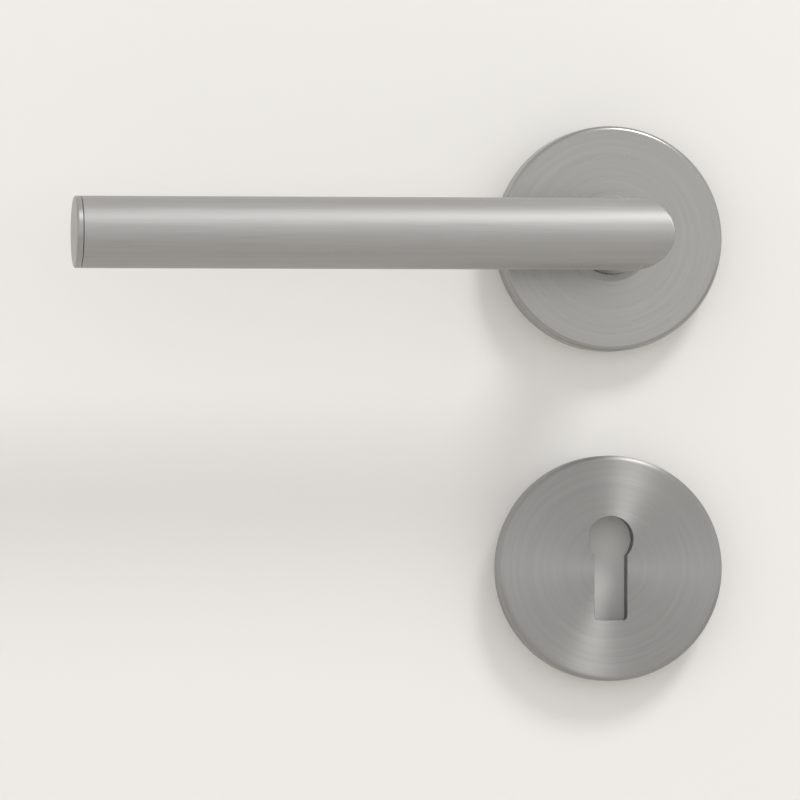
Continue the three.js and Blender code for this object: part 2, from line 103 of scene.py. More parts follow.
# ---- Measures from the frame ---------------------------------------------------------------


def corners_of(node: str) -> tuple[np.ndarray, np.ndarray]:
    """Return a CAD node's lowest and highest corner, in millimetres."""
    low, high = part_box(node)
    return np.array(low) / MM, np.array(high) / MM


def middle_of(node: str) -> np.ndarray:
    """Return the middle of a CAD node's box, in millimetres."""
    low, high = corners_of(node)
    return (low + high) / 2


def depths_of(node: str) -> tuple[float, float]:
    """Measure how far from the door's mid-plane a node on one side of the door lies.

    Args:
        node: the CAD node.

    Returns:
        Its least and its greatest depth, in millimetres.
    """
    low, high = corners_of(node)
    near, far = sorted((abs(low[1]), abs(high[1])))
    return float(near), float(far)


def radius_of(node: str, axis: int = 0) -> float:
    """Return half the width of a CAD node's box along one axis, in millimetres."""
    low, high = corners_of(node)
    return float(high[axis] - low[axis]) / 2


# ---- Outlines and profiles -----------------------------------------------------------------


def unit(vectors: np.ndarray) -> np.ndarray:
    """Return vectors scaled to length one."""
    return vectors / np.linalg.norm(vectors, axis=-1, keepdims=True)


def rounded(
    corners: Sequence[Sequence[float]],
    radii: float | Sequence[float],
    closed: bool = True,
    steps: int = 5,
) -> np.ndarray:
    """Round the corners of an outline or profile.

    Formula: at each corner an arc of its radius touches both sides. Its points are the two
    touching points' spokes turned into each other in equal angles about the arc's centre. One
    more point just outside each end of the arc keeps the flats flat under smooth shading.

    Args:
        corners: the corner points, in order.
        radii: one radius for all corners, or one for each.
        closed: whether the last corner joins the first; open ends stay as they are.
        steps: pieces in each arc.

    Returns:
        The points, one row each.
    """
    at = np.asarray(corners, float)
    radius = np.broadcast_to(np.asarray(radii, float), len(at))[:, None]
    before = unit(np.roll(at, 1, axis=0) - at)
    after = unit(np.roll(at, -1, axis=0) - at)
    half = np.arccos(np.clip((before * after).sum(1, keepdims=True), -1, 1)) / 2
    centre = at + unit(before + after) * radius / np.sin(half)
    first = at + before * radius / np.tan(half)
    last = at + after * radius / np.tan(half)
    spread = (math.pi - 2 * half)[:, :, None]
    share = np.linspace(0, 1, steps + 1)[None, :, None]
    arcs = centre[:, None] + (
        np.sin((1 - share) * spread) * (first - centre)[:, None]
        + np.sin(share * spread) * (last - centre)[:, None]
    ) / np.sin(spread)
    holding = 0.25 * radius  # from an arc's end to the point just outside it
    points = np.concatenate(
        [(first + before * holding)[:, None], arcs, (last + after * holding)[:, None]], axis=1
    )
    if closed:
        return points.reshape(-1, 2)
    return np.concatenate([at[:1], points[1:-1].reshape(-1, 2), at[-1:]])


def circle(radius: float, segments: int, x: float = 0.0, z: float = 0.0) -> np.ndarray:
    """Return a circle's points: (x + radius cos a, z + radius sin a) for equal steps of a."""
    angle = np.linspace(0, 2 * math.pi, segments, endpoint=False)
    return np.stack([x + radius * np.cos(angle), z + radius * np.sin(angle)], axis=1)


def sector(inside: float, outside: float, start: float, end: float) -> np.ndarray:
    """Draw a piece of a ring.

    Formula: the outer arc in equal steps of angle, then the inner arc back.

    Args:
        inside: the inner radius.
        outside: the outer radius.
        start: the angle that it starts at, in degrees.
        end: the angle that it ends at.

    Returns:
        The outline's points, one row each.
    """
    count = max(2, int(abs(end - start) / ARC_STEP))
    angle = np.radians(np.linspace(start, end, count))
    there = np.stack([np.cos(angle), np.sin(angle)], axis=1)
    return np.concatenate([outside * there, inside * there[::-1]])


def rectangle(width: float, height: float, x: float = 0.0, z: float = 0.0) -> np.ndarray:
    """Return a rectangle's four corners about a middle point."""
    signs = np.array([[-1, -1], [1, -1], [1, 1], [-1, 1]])
    return signs * np.array([width, height]) / 2 + np.array([x, z])


def spoke(inside: float, outside: float, degrees: float, width: float) -> np.ndarray:
    """Draw a bar that points outwards from the axis.

    Formula: a rectangle along x between the two distances, turned about the axis.

    Args:
        inside: where the bar starts, from the axis.
        outside: where it ends.
        degrees: the angle that it points at.
        width: its width.

    Returns:
        The outline's four corners.
    """
    bar = rectangle(outside - inside, width, (inside + outside) / 2)
    turn = math.radians(degrees)
    rotation = np.array([[math.cos(turn), math.sin(turn)], [-math.sin(turn), math.cos(turn)]])
    return bar @ rotation


def clipped(radius: float, flat: float, angle: np.ndarray) -> np.ndarray:
    """Return a circle's radius at each angle, cut by a flat above the axis and one below."""
    height = np.maximum(np.abs(np.sin(angle)), 0.1)  # never zero, where the circle is nearer
    return np.minimum(radius, flat / height)


# ---- Stacks of rings -----------------------------------------------------------------------


def turned(
    profile: np.ndarray,
    segments: int,
    axis: Sequence[float],
    centre: Sequence[float] = (0.0, 0.0, 0.0),
    shape: np.ndarray | float = 1.0,
) -> np.ndarray:
    """Turn a profile about an axis.

    Formula: the row (radius, along) becomes the ring centre + along × axis + radius × shape ×
    (cos a × across + sin a × up), for equal steps of the angle a; up is +Z, or -Y on an
    upright axis, and across is at right angles to it and to the axis.

    Args:
        profile: rows of (radius, along).
        segments: points in a ring.
        axis: the direction that along counts in.
        centre: the point where along is zero.
        shape: the radius's share at each row and angle, for rings that aren't round.

    Returns:
        The rings: rows × segments × 3.
    """
    direction = np.asarray(axis, float)
    up = np.array([0.0, -1.0, 0.0]) if abs(direction[2]) > 0.5 else np.array([0.0, 0.0, 1.0])
    across = np.cross(up, direction)
    angle = np.linspace(0, 2 * math.pi, segments, endpoint=False)[None, :, None]
    spokes = np.cos(angle) * across + np.sin(angle) * up
    radius = (profile[:, 0, None] * shape * np.ones(segments))[:, :, None]
    return np.asarray(centre) + profile[:, 1, None, None] * direction + radius * spokes


def layers(outline: np.ndarray, depths: Sequence[float], side: int) -> np.ndarray:
    """Repeat a flat outline at several depths.

    Formula: at each depth the point (x, z) becomes (x, side × depth, z).

    Args:
        outline: rows of (x, z).
        depths: the depths, from the mid-plane.
        side: the side of the mid-plane, -1 or 1.

    Returns:
        The rings: depths × points × 3.
    """
    x, z = outline[None, :, 0], outline[None, :, 1]
    y = side * np.asarray(depths, float)[:, None]
    return np.stack(np.broadcast_arrays(x, y, z), axis=-1)


def thread(
    radius: float, start: float, end: float, pitch: float, segments: int
) -> tuple[np.ndarray, np.ndarray]:
    """Return the rows and shape of a threaded stretch of a turned shape.

    Formula: the share of the radius that is left is 1 - height / radius × wave, where wave is
    a triangle wave of along / pitch - angle / one turn with its crest and root cut flat, and
    fades out over one pitch at each end. The height is 0.6 of the pitch.

    Args:
        radius: over the crests.
        start: where the thread starts, counted along the axis.
        end: where it ends.
        pitch: from crest to crest.
        segments: points in a ring.

    Returns:
        Rows of (radius, along), and each row's share of the radius at each angle.
    """
    rows_in_pitch, steepness, flat, height = 8, 1.25, 0.1, 0.6 * pitch
    along = np.linspace(start, end, int(abs(end - start) / pitch * rows_in_pitch))
    angle = np.linspace(0, 1, segments, endpoint=False)
    wave = np.abs(2 * ((along[:, None] / pitch - angle) % 1) - 1)
    fade = np.clip(np.minimum(np.abs(along - start), np.abs(end - along)) / pitch, 0, 1)
    cut = np.clip(steepness * wave - flat, 0, 1) * fade[:, None]
    return np.stack([np.full(len(along), radius), along], axis=1), 1 - height / radius * cut


# ---- Skins ---------------------------------------------------------------------------------


def signed_volume(points: np.ndarray, faces: Sequence[np.ndarray]) -> float:
    """Return a closed mesh's volume, negative if its faces point inwards.

    Formula: a sixth of the sum of a · (b × c) over the triangles fanned from each face's
    first corner.

    Args:
        points: the vertices.
        faces: arrays of faces, each array with one number of corners.

    Returns:
        The volume.
    """
    total = 0.0
    for group in faces:
        corners = points[group]
        first = np.broadcast_to(corners[:, :1], corners[:, 1:-1].shape)
        total += float((first * np.cross(corners[:, 1:-1], corners[:, 2:])).sum()) / 6
    return total


def skin(name: str, rings: np.ndarray, ends: Ends) -> bpy.types.Object:
    """Make a closed mesh over a stack of rings.

    Formula: point c of row r joins its neighbours in the row and in the next row as a quad;
    the last point of a row joins the first. The UV map is in millimetres: u is the distance
    around the widest ring and v the mean distance from row to row.

    Args:
        name: the piece's name.
        rings: rows × columns × 3, in millimetres.
        ends: whether the last row joins the first or both ends are capped.

    Returns:
        The mesh object, at the origin.
    """
    rows, columns = rings.shape[:2]
    looped = ends is Ends.LOOP
    stack = np.concatenate([rings, rings[:1]]) if looped else rings
    steps = np.linalg.norm(np.diff(stack, axis=0), axis=2).mean(1)
    along = np.concatenate([[0], np.cumsum(steps)])
    ring = np.concatenate([rings, rings[:, :1]], axis=1)
    around = np.concatenate([[0], np.cumsum(np.linalg.norm(np.diff(ring, axis=1), axis=2).max(0))])

    row, column = np.meshgrid(np.arange(len(stack) - 1), np.arange(columns), indexing="ij")
    row_of = np.stack([row, row, row + 1, row + 1], axis=-1).reshape(-1, 4)
    column_of = np.stack([column, column + 1, column + 1, column], axis=-1).reshape(-1, 4)
    quads = (row_of % rows) * columns + column_of % columns
    quad_uv = np.stack([around[column_of], along[row_of]], axis=-1)
    groups, group_uv = [quads], [quad_uv]
    if not looped:
        first = np.arange(columns)[::-1]
        caps = np.stack([first, first[::-1] + (rows - 1) * columns])
        groups.append(caps)
        ends_v = np.repeat([[along[0]], [along[-1]]], columns, axis=1)
        group_uv.append(np.stack([around[caps % columns], ends_v], axis=-1))
    points = rings.reshape(-1, 3)
    if signed_volume(points, groups) < 0:
        groups = [group[:, ::-1] for group in groups]
        group_uv = [uv[:, ::-1] for uv in group_uv]

    mesh = bpy.data.meshes.new(name)
    mesh.from_pydata(points * MM, [], [face for group in groups for face in group.tolist()])
    layer = mesh.uv_layers.new(name="grain")
    flat = np.concatenate([uv.reshape(-1, 2) for uv in group_uv])
    layer.data.foreach_set("uv", flat.astype(np.float32).ravel())
    mesh.shade_smooth()
    mesh.set_sharp_from_angle(angle=SMOOTH_ANGLE)
    piece = bpy.data.objects.new(name, mesh)
    bpy.context.scene.collection.objects.link(piece)
    return piece


def block(outline: np.ndarray, near: float, far: float, side: int) -> bpy.types.Object:
    """Make a flat outline solid between two depths: a blank to join to or cut from a piece."""
    return skin("blank", layers(outline, [near, far], side), Ends.CAPPED)


def settle(piece: bpy.types.Object) -> None:
    """Apply a piece's modifiers to its mesh and drop the mesh that they started from.

    Args:
        piece: the piece.
    """
    graph = bpy.context.evaluated_depsgraph_get()
    made = bpy.data.meshes.new_from_object(
        piece.evaluated_get(graph), preserve_all_data_layers=True, depsgraph=graph
    )
    drawn = piece.data
    piece.modifiers.clear()
    piece.data = made
    bpy.data.meshes.remove(drawn)


def machined(
    piece: bpy.types.Object,
    joined: Sequence[bpy.types.Object] = (),
    cut: Sequence[bpy.types.Object] = (),
    edge: float = 0.0,
) -> bpy.types.Object:
    """Join blanks to a piece, cut others from it and break its edges.

    Args:
        piece: the closed piece to work on.
        joined: closed blanks to add.
        cut: closed blanks to take away, after the joins.
        edge: the width of the broken edge in millimetres, or zero for none.

    Returns:
        The piece, with the blanks removed from the scene.
    """
    for blanks, operation in ((joined, "UNION"), (cut, "DIFFERENCE")):
        for blank in blanks:
            step = piece.modifiers.new(operation, "BOOLEAN")
            step.solver = "MANIFOLD"
            step.operation = operation
            step.object = blank
    settle(piece)
    for blank in (*joined, *cut):
        drawn = blank.data
        bpy.data.objects.remove(blank)
        bpy.data.meshes.remove(drawn)
    if edge:
        bevel = piece.modifiers.new("edge", "BEVEL")
        bevel.width = edge * MM
        bevel.segments = 2
        bevel.limit_method = "ANGLE"
        bevel.angle_limit = SMOOTH_ANGLE
        bevel.use_clamp_overlap = True
        settle(piece)
    piece.data.shade_smooth()
    piece.data.set_sharp_from_angle(angle=SMOOTH_ANGLE)
    return piece


def swept(name: str, path: np.ndarray, radius: float, columns: int) -> bpy.types.Object:
    """Carry a round section along a path that winds about the Y axis.

    Formula: at each point the section's two spokes are out = tangent × Y, scaled to length
    one, and over = out × tangent; the ring is point + radius × (cos a × out + sin a × over).

    Args:
        name: the piece's name.
        path: the centre line's points.
        radius: the section's radius.
        columns: points in a ring.

    Returns:
        The mesh object.
    """
    tangent = unit(np.gradient(path, axis=0))
    out = unit(np.cross(tangent, [0.0, 1.0, 0.0]))
    over = np.cross(out, tangent)
    angle = np.linspace(0, 2 * math.pi, columns, endpoint=False)[None, :, None]
    rings = path[:, None] + radius * (np.cos(angle) * out[:, None] + np.sin(angle) * over[:, None])
    return skin(name, rings, Ends.CAPPED)


# ---- Finishes ------------------------------------------------------------------------------


def linear(colour: str) -> tuple[float, float, float, float]:
    """Turn an sRGB colour into the linear one that a shader takes.

    Formula: the sRGB curve, a short straight stretch near black and a power of 2.4 above it.

    Args:
        colour: the colour as #RRGGBB.

    Returns:
        Red, green, blue and an alpha of one.
    """
    parts = np.array([int(colour[i : i + 2], 16) for i in (1, 3, 5)]) / 255
    low, high = parts / 12.92, ((parts + 0.055) / 1.055) ** 2.4
    red, green, blue = np.where(parts <= 0.04045, low, high)
    return float(red), float(green), float(blue), 1.0


def add_node(
    tree: bpy.types.NodeTree, kind: str, inputs: Mapping[str | int, object], **settings: object
) -> bpy.types.Node:
    """Add a shader node.

    Args:
        tree: the node tree to add it to.
        kind: the node's type name.
        inputs: for each input, its value or the output that it is linked to.
        settings: the node's own properties.

    Returns:
        The node.
    """
    made = tree.nodes.new(kind)
    for name, value in settings.items():
        setattr(made, name, value)
    for key, value in inputs.items():
        if isinstance(value, bpy.types.NodeSocket):
            tree.links.new(value, made.inputs[key])
        else:
            made.inputs[key].default_value = value
    return made


@dataclass(frozen=True)
class Finish:
    """A surface finish; each kind says how its marks lie."""

    name: str
    colour: str
    shade: str
    metallic: float = 1.0
    roughness: float = 0.35
    spread: float = 0.05
    relief: float = 0.01
    anisotropy: float = 0.0
    coarseness: float = 5.0  # how many times wider the broad pattern's marks are
    grit: float = 0.5  # how much of the noise is in its smallest grain

    def marks(self, tree: bpy.types.NodeTree) -> tuple[bpy.types.NodeSocket, Sequence[float]]:
        """Return the output that carries the place, and how many marks fit in one of its units."""
        raise NotImplementedError

    def lay(self, tree: bpy.types.NodeTree) -> dict[str, object]:
        """Return the shader inputs that stretch a highlight across the marks, if there are any."""
        return {}

    def material(self) -> bpy.types.Material:
        """Make the finish's material, on first use.

        The pattern is noise that is stretched as the marks lie, once fine and once broad. The
        fine one gives the relief. Both shift the colour and roughness a little, and the broad
        one stands for the slow changes that handling and working leave.

        Returns:
            The material.
        """
        known = bpy.data.materials.get(self.name)
        if known:
            return known
        made = bpy.data.materials.new(self.name)
        made.use_nodes = True
        tree = made.node_tree
        tree.nodes.clear()

        place, count = self.marks(tree)
        patterns = []
        for coarseness in (1.0, self.coarseness):
            scale = tuple(value / coarseness for value in count)
            at = add_node(tree, "ShaderNodeMapping", {"Vector": place, "Scale": scale})
            inputs = {"Vector": at.outputs[0], "Scale": 1.0, "Detail": 3.0, "Roughness": self.grit}
            patterns.append(add_node(tree, "ShaderNodeTexNoise", inputs).outputs["Fac"])
        fine, broad = patterns
        both = add_node(tree, "ShaderNodeMath", {0: fine, 1: broad}, operation="ADD").outputs[0]

        # The two noises add up to about one, and seldom leave these limits.
        limits = {"Value": both, "From Min": 0.7, "From Max": 1.3}
        share = add_node(tree, "ShaderNodeMapRange", limits).outputs[0]
        colours = {"Fac": share, "Color1": linear(self.shade), "Color2": linear(self.colour)}
        tint = add_node(tree, "ShaderNodeMixRGB", colours).outputs[0]
        limits = {"Value": both, "From Min": 0.6, "From Max": 1.4}
        limits |= {"To Min": self.roughness - self.spread, "To Max": self.roughness + self.spread}
        rough = add_node(tree, "ShaderNodeMapRange", limits).outputs[0]
        depth = {"Height": fine, "Strength": 1.0, "Distance": self.relief * MM}
        bump = add_node(tree, "ShaderNodeBump", depth).outputs[0]

        inputs = {"Base Color": tint, "Metallic": self.metallic, "Roughness": rough, "Normal": bump}
        surface = add_node(tree, "ShaderNodeBsdfPrincipled", inputs | self.lay(tree)).outputs[0]
        add_node(tree, "ShaderNodeOutputMaterial", {"Surface": surface})
        return made

    def dress(self, piece: bpy.types.Object, slot: str) -> None:
        """Give a piece this finish.

        Args:
            piece: the piece.
            slot: the name of the material slot that the finish stands for; not used.
        """
        piece.data.materials.clear()
        piece.data.materials.append(self.material())


@dataclass(frozen=True)
class Drawn(Finish):
    """Marks drawn out along or around a skin, from its UV map in millimetres."""

    grain: Grain = Grain.ALONG
    pitch: float = 0.25  # between marks; real grit marks are finer, and wouldn't show
    length: float = 14.0

    def marks(self, tree: bpy.types.NodeTree) -> tuple[bpy.types.NodeSocket, Sequence[float]]:
        """Stretch the marks so that each is pitch wide and length long.

        Args:
            tree: the material's node tree.

        Returns:
            The UV map's output, and the marks in a millimetre of u and of v.
        """
        place = add_node(tree, "ShaderNodeUVMap", {}, uv_map="grain").outputs[0]
        wide, long = 1 / self.pitch, 1 / self.length
        return place, (wide, long, 1.0) if self.grain is Grain.ALONG else (0.0, wide, 1.0)

    def lay(self, tree: bpy.types.NodeTree) -> dict[str, object]:
        """Take the direction of the rings from the UV map.

        Marks along the rows' path spread a highlight around the ring, and marks around the
        ring spread it along the path, a quarter of a turn away.

        Args:
            tree: the material's node tree.

        Returns:
            The shader's inputs.
        """
        rings = add_node(tree, "ShaderNodeTangent", {}, direction_type="UV_MAP", uv_map="grain")
        return {
            "Tangent": rings.outputs[0],
            "Anisotropic": self.anisotropy,
            "Anisotropic Rotation": 0.0 if self.grain is Grain.ALONG else 0.25,
        }


@dataclass(frozen=True)
class Spun(Finish):
    """Fine circles brushed round a rose on a spindle, so a light shows as a streak across it."""

    centre_z: float = 0.0
    pitch: float = 0.22
    length: float = 16.0
    coarseness: float = 6.0

    def centred(self, tree: bpy.types.NodeTree) -> bpy.types.NodeSocket:
        """Find the place about the rose's centre.

        Args:
            tree: the material's node tree.

        Returns:
            The output that carries it.
        """
        place = add_node(tree, "ShaderNodeTexCoord", {}).outputs["Object"]
        shift = (0.0, 0.0, -self.centre_z * MM)
        return add_node(tree, "ShaderNodeMapping", {"Vector": place, "Location": shift}).outputs[0]

    def marks(self, tree: bpy.types.NodeTree) -> tuple[bpy.types.NodeSocket, Sequence[float]]:
        """Make the marks narrow across the circles and long around them.

        The place is (x, z, radius - depth) about the rose's centre, whose last part changes
        fast with the radius on the face and with the depth on the rim.

        Args:
            tree: the material's node tree.

        Returns:
            The output that carries the place, and the marks in a metre of each part.
        """
        x, y, z = add_node(tree, "ShaderNodeSeparateXYZ", {"Vector": self.centred(tree)}).outputs
        flat = add_node(tree, "ShaderNodeCombineXYZ", {"X": x, "Y": z, "Z": 0.0}).outputs[0]
        length = add_node(tree, "ShaderNodeVectorMath", {0: flat}, operation="LENGTH")
        radius = length.outputs["Value"]
        depth = add_node(tree, "ShaderNodeMath", {0: y}, operation="ABSOLUTE").outputs[0]
        across = add_node(tree, "ShaderNodeMath", {0: radius, 1: depth}, operation="SUBTRACT")
        parts = {"X": x, "Y": z, "Z": across.outputs[0]}
        place = add_node(tree, "ShaderNodeCombineXYZ", parts).outputs[0]
        wide, long = 1 / (self.pitch * MM), 1 / (self.length * MM)
        return place, (long, long, wide)

    def lay(self, tree: bpy.types.NodeTree) -> dict[str, object]:
        """Spread a highlight along the radius, a quarter of a turn from the circles.

        A circle's direction is the Y axis × the place about the rose's centre.

        Args:
            tree: the material's node tree.

        Returns:
            The shader's inputs.
        """
        inputs = {0: (0.0, 1.0, 0.0), 1: self.centred(tree)}
        circles = add_node(tree, "ShaderNodeVectorMath", inputs, operation="CROSS_PRODUCT")
        return {
            "Tangent": circles.outputs[0],
            "Anisotropic": self.anisotropy,
            "Anisotropic Rotation": 0.25,
        }


@dataclass(frozen=True)
class Grainy(Finish):
    """An even grain of the given size, as a casting or a moulding takes from its tool."""

    grain_size: float = 0.35
    coarseness: float = 20.0
    grit: float = 0.6

    def marks(self, tree: bpy.types.NodeTree) -> tuple[bpy.types.NodeSocket, Sequence[float]]:
        """Return the object's own place, and the grains in a metre, the same every way."""
        place = add_node(tree, "ShaderNodeTexCoord", {}).outputs["Object"]
        return place, (1 / (self.grain_size * MM),) * 3


# Satin-brushed 304 stainless steel tube, ground lengthwise with a fine belt: soft grey, with a
# broad highlight along the bar and faint lengthwise lines.
SATIN_TUBE = Drawn(
    "satin_brushed_stainless_tube", "#B0AFAD", "#A6A5A3",
    roughness=0.49, spread=0.04, relief=0.006, anisotropy=0.3,
)
# The same belt on the tip cap's end.
SATIN_CAP = Drawn(
    "satin_brushed_stainless_cap", "#ACABA9", "#A2A19F",
    roughness=0.42, spread=0.04, relief=0.006, anisotropy=0.3, grain=Grain.AROUND, length=8.0,
)
# Deep-drawn 304 stainless cup, finely polished: an even silver face that mirrors the lever.
FINE_ROSE = Spun(
    "fine_satin_stainless_rose", "#A9A8A5", "#A09F9C",
    roughness=0.29, spread=0.03, relief=0.004, anisotropy=0.1,
)
# The same cup satin-brushed in circles: a shade darker, and a light shows as a broad streak.
SPUN_ROSE = Spun(
    "satin_spun_stainless_escutcheon", "#A7A6A4", "#9D9C9A",
    roughness=0.42, spread=0.03, relief=0.004, anisotropy=0.9,
)
# Free-cutting steel turned on a lathe: bright, with fine tool marks around it.
TURNED_STEEL = Drawn(
    "turned_free_cutting_steel", "#A7A9AB", "#909395",
    roughness=0.33, spread=0.08, relief=0.015, anisotropy=0.4, grain=Grain.AROUND, length=30.0,
)
# Cold-drawn square steel bar, lightly oiled: long faint die lines.
DRAWN_STEEL = Drawn(
    "cold_drawn_steel_bar", "#9B9DA0", "#84878A",
    roughness=0.36, spread=0.08, relief=0.012, length=40.0, pitch=0.4,
)
# Bright zinc plating, blue passivated: clean, with a faint cloudiness.
ZINC_PLATE = Grainy(
    "blue_passivated_zinc_plate", "#B9BEC4", "#A3A9B0", roughness=0.28, spread=0.06, relief=0.004
)
# Pressure die-cast zinc as it leaves the tool and the tumbler: matt, grey and slightly mottled.
DIE_CAST_ZINC = Grainy(
    "tumbled_zinc_die_casting", "#93969A", "#7E8185", roughness=0.55, spread=0.08, relief=0.03
)
# Oil-hardened spring wire: nearly black blue-grey under a film of oil.
SPRING_STEEL = Drawn(
    "oiled_spring_steel", "#5E6166", "#45484C",
    roughness=0.3, spread=0.08, relief=0.01, length=20.0, pitch=0.3,
)
# Natural nylon 6, injection moulded: waxy off-white.
NATURAL_NYLON = Grainy(
    "moulded_natural_nylon", "#DDD9CC", "#D0CBBC",
    metallic=0.0, roughness=0.48, spread=0.05, relief=0.01,
)
# Acetal, injection moulded in silver grey: a smooth, soft-looking ring against the steel.
SILVER_ACETAL = Grainy(
    "moulded_silver_acetal", "#A6A6A4", "#9C9C9A",
    metallic=0.0, roughness=0.42, spread=0.04, relief=0.005,
)
# Glass-filled nylon, injection moulded: grey with a fine spark-eroded texture.
GREY_NYLON = Grainy(
    "moulded_glass_filled_nylon", "#74777A", "#65686B",
    metallic=0.0, roughness=0.55, spread=0.06, relief=0.02, grain_size=0.3,
)


# ---- What the sub-assemblies share ---------------------------------------------------------


def fit(piece: bpy.types.Object, body: str, node: str) -> None:
    """Let a piece stand in for its CAD node, and report it.

    Args:
        piece: the piece.
        body: the body that it rides on.
        node: the CAD node that it replaces.
    """
    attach(piece, body)
    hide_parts(node)
    log.info("%s: %d faces, on %s", piece.name, len(piece.data.polygons), body)


@dataclass
class OneFace:
    """A sub-assembly that each face of the door has one of."""

    face: Face

    def node(self, piece: str) -> str:
        """Return this face's name for a piece or node."""
        return f"{self.face.label}_{piece}"


# ---- The lever -----------------------------------------------------------------------------


@dataclass
class Lever(OneFace):
    """One lever: the mitred tube, the tip cap, the neck socket and its grub screw."""

    wall: float = 1.5
    mitre_softness: float = 0.35  # the welded corner is dressed to this radius
    inner_softness: float = 0.1
    mitre_rows: int = 5
    edge: float = 0.12
    tip_edge: float = 0.45
    stations: int = 12  # rows along the grip
    plug_length: float = 5.0
    plug_edge: float = 0.4
    gap: float = 0.1  # between faces that touch
    socket_width: float = 8.2
    socket_floor: float = 2.0  # past the spindle's end
    mouth_width: float = 0.4  # of the chamfer round the square hole
    mouth_depth: float = 0.5
    hub_chamfer: float = 0.3
    groove_depth: float = 0.9
    flat: float = 6.75  # from the axis to the flats that carry the driver
    flat_start: float = 0.7  # before the driver's outer face
    neck_step: float = 0.65  # from the hub down to what is pressed into the tube
    neck_chamfer: float = 0.5
    grub_access: float = 0.25  # between the grub screw and the tube's hole
    grub_play: float = 0.08  # between the grub screw and the socket's hole
    grub_pitch: float = 0.8
    grub_chamfer: float = 0.3
    grub_point: float = 0.5
    hexagon: float = 2.5  # across flats
    hexagon_depth: float = 2.2
    hexagon_chamfer: float = 0.25

    def bar(
        self,
        radius: float,
        neck: Sequence[tuple[float, float]],
        grip: Sequence[tuple[float, float]],
        softness: float,
    ) -> np.ndarray:
        """Return the rings of a round bar with a mitred corner.

        Formula: the bar's line at angle a lies n = radius cos a outside the centre line and
        radius sin a above it. It runs out from the door at x = n, turns a quarter circle of
        the softness radius about (n - softness, grip depth + n - softness), and runs along -X
        at the grip's depth + n. So all lines turn on one mitre plane.

        Args:
            radius: the bar's radius at the corner.
            neck: (radius, depth) rows before the corner.
            grip: (radius, reach) rows after it, reach counting along -X.
            softness: the corner's radius.

        Returns:
            The rings: rows × MEDIUM × 3.
        """
        depth = abs(middle_of(self.node("tip_cap"))[1])
        angle = np.linspace(-math.pi, math.pi, MEDIUM, endpoint=False)[None]
        cosine, sine = np.cos(angle), np.sin(angle)
        before, after = np.array(neck), np.array(grip)

        quarter = np.linspace(0, math.pi / 2, self.mitre_rows)[:, None]
        outwards = radius * cosine
        bend_x = outwards - softness * (1 - np.cos(quarter))
        bend_depth = depth + outwards - softness * (1 - np.sin(quarter))
        holding = 0.6 * softness  # one more row at each end keeps both arms straight
        bend_x = np.concatenate([outwards, bend_x, bend_x[-1:] - holding])
        bend_depth = np.concatenate([bend_depth[:1] - holding, bend_depth, bend_depth[-1:]])
        bend_z = np.broadcast_to(radius * sine, bend_x.shape)

        neck_radius, neck_depth = before[:, :1], before[:, 1:]
        grip_radius, grip_reach = after[:, :1], after[:, 1:]
        x = np.concatenate([neck_radius * cosine, bend_x, -grip_reach * np.ones_like(cosine)])
        out = np.concatenate(
            [neck_depth * np.ones_like(cosine), bend_depth, depth + grip_radius * cosine]
        )
        z = np.concatenate([neck_radius * sine, bend_z, grip_radius * sine])
        return np.stack([x, self.face.value * out, z], axis=-1)

    def grub_drill(self, clearance: float, reach: float) -> bpy.types.Object:
        """Make the blank that cuts the grub screw's hole, from the neck's axis down.

        Args:
            clearance: how much wider than the screw it is, all round.
            reach: how far down it goes.

        Returns:
            The blank.
        """
        screw = self.node("grub_screw")
        radius = radius_of(screw) + clearance
        profile = np.array([[radius, 0.0], [radius, reach]])
        centre = (0.0, middle_of(screw)[1], 0.0)
        return skin("drill", turned(profile, SMALL, (0, 0, -1), centre), Ends.CAPPED)

    def tube(self) -> bpy.types.Object:
        """Make the lever tube.

        Returns:
            The tube, hollow, with its hole for the grub screw.
        """
        node = self.node("lever_tube")
        start, seat = depths_of(node)[0], -corners_of(node)[0][0]
        radius = radius_of(node, axis=2)
        bore = radius - self.wall
        edge, plain = self.edge, 4 * self.edge
        neck = [(radius - edge, start), (radius, start + edge), (radius, start + plain)]
        grip = [(radius, at) for at in np.linspace(2 * radius, seat - plain, self.stations)]
        grip += [(radius, seat - edge), (radius - edge, seat)]
        outer = self.bar(radius, neck, grip, self.mitre_softness)
        inner = self.bar(bore, [(bore, start)], [(bore, seat)], self.inner_softness)
        tube = skin(self.node("tube"), np.concatenate([outer, inner[::-1]]), Ends.LOOP)
        return machined(tube, cut=[self.grub_drill(self.grub_access, 2 * radius)])

    def cap(self) -> bpy.types.Object:
        """Make the tip cap.

        Returns:
            The cap: a plug and a flat end with a broken edge.
        """
        node = self.node("tip_cap")
        radius, end = radius_of(node, axis=2), -corners_of(node)[0][0]
        seat = -corners_of(self.node("lever_tube"))[0][0] + self.gap
        plug, plug_end = radius - self.wall - self.gap, seat - self.plug_length
        profile = rounded(
            [
                (PIP, plug_end), (plug, plug_end), (plug, seat),
                (radius, seat), (radius, end), (PIP, end),
            ],
            [0.1, self.plug_edge, 0.05, self.edge, self.tip_edge, 0.1],
            closed=False,
        )
        centre = (0.0, middle_of(node)[1], 0.0)
        return skin(self.node("cap"), turned(profile, MEDIUM, (-1, 0, 0), centre), Ends.CAPPED)

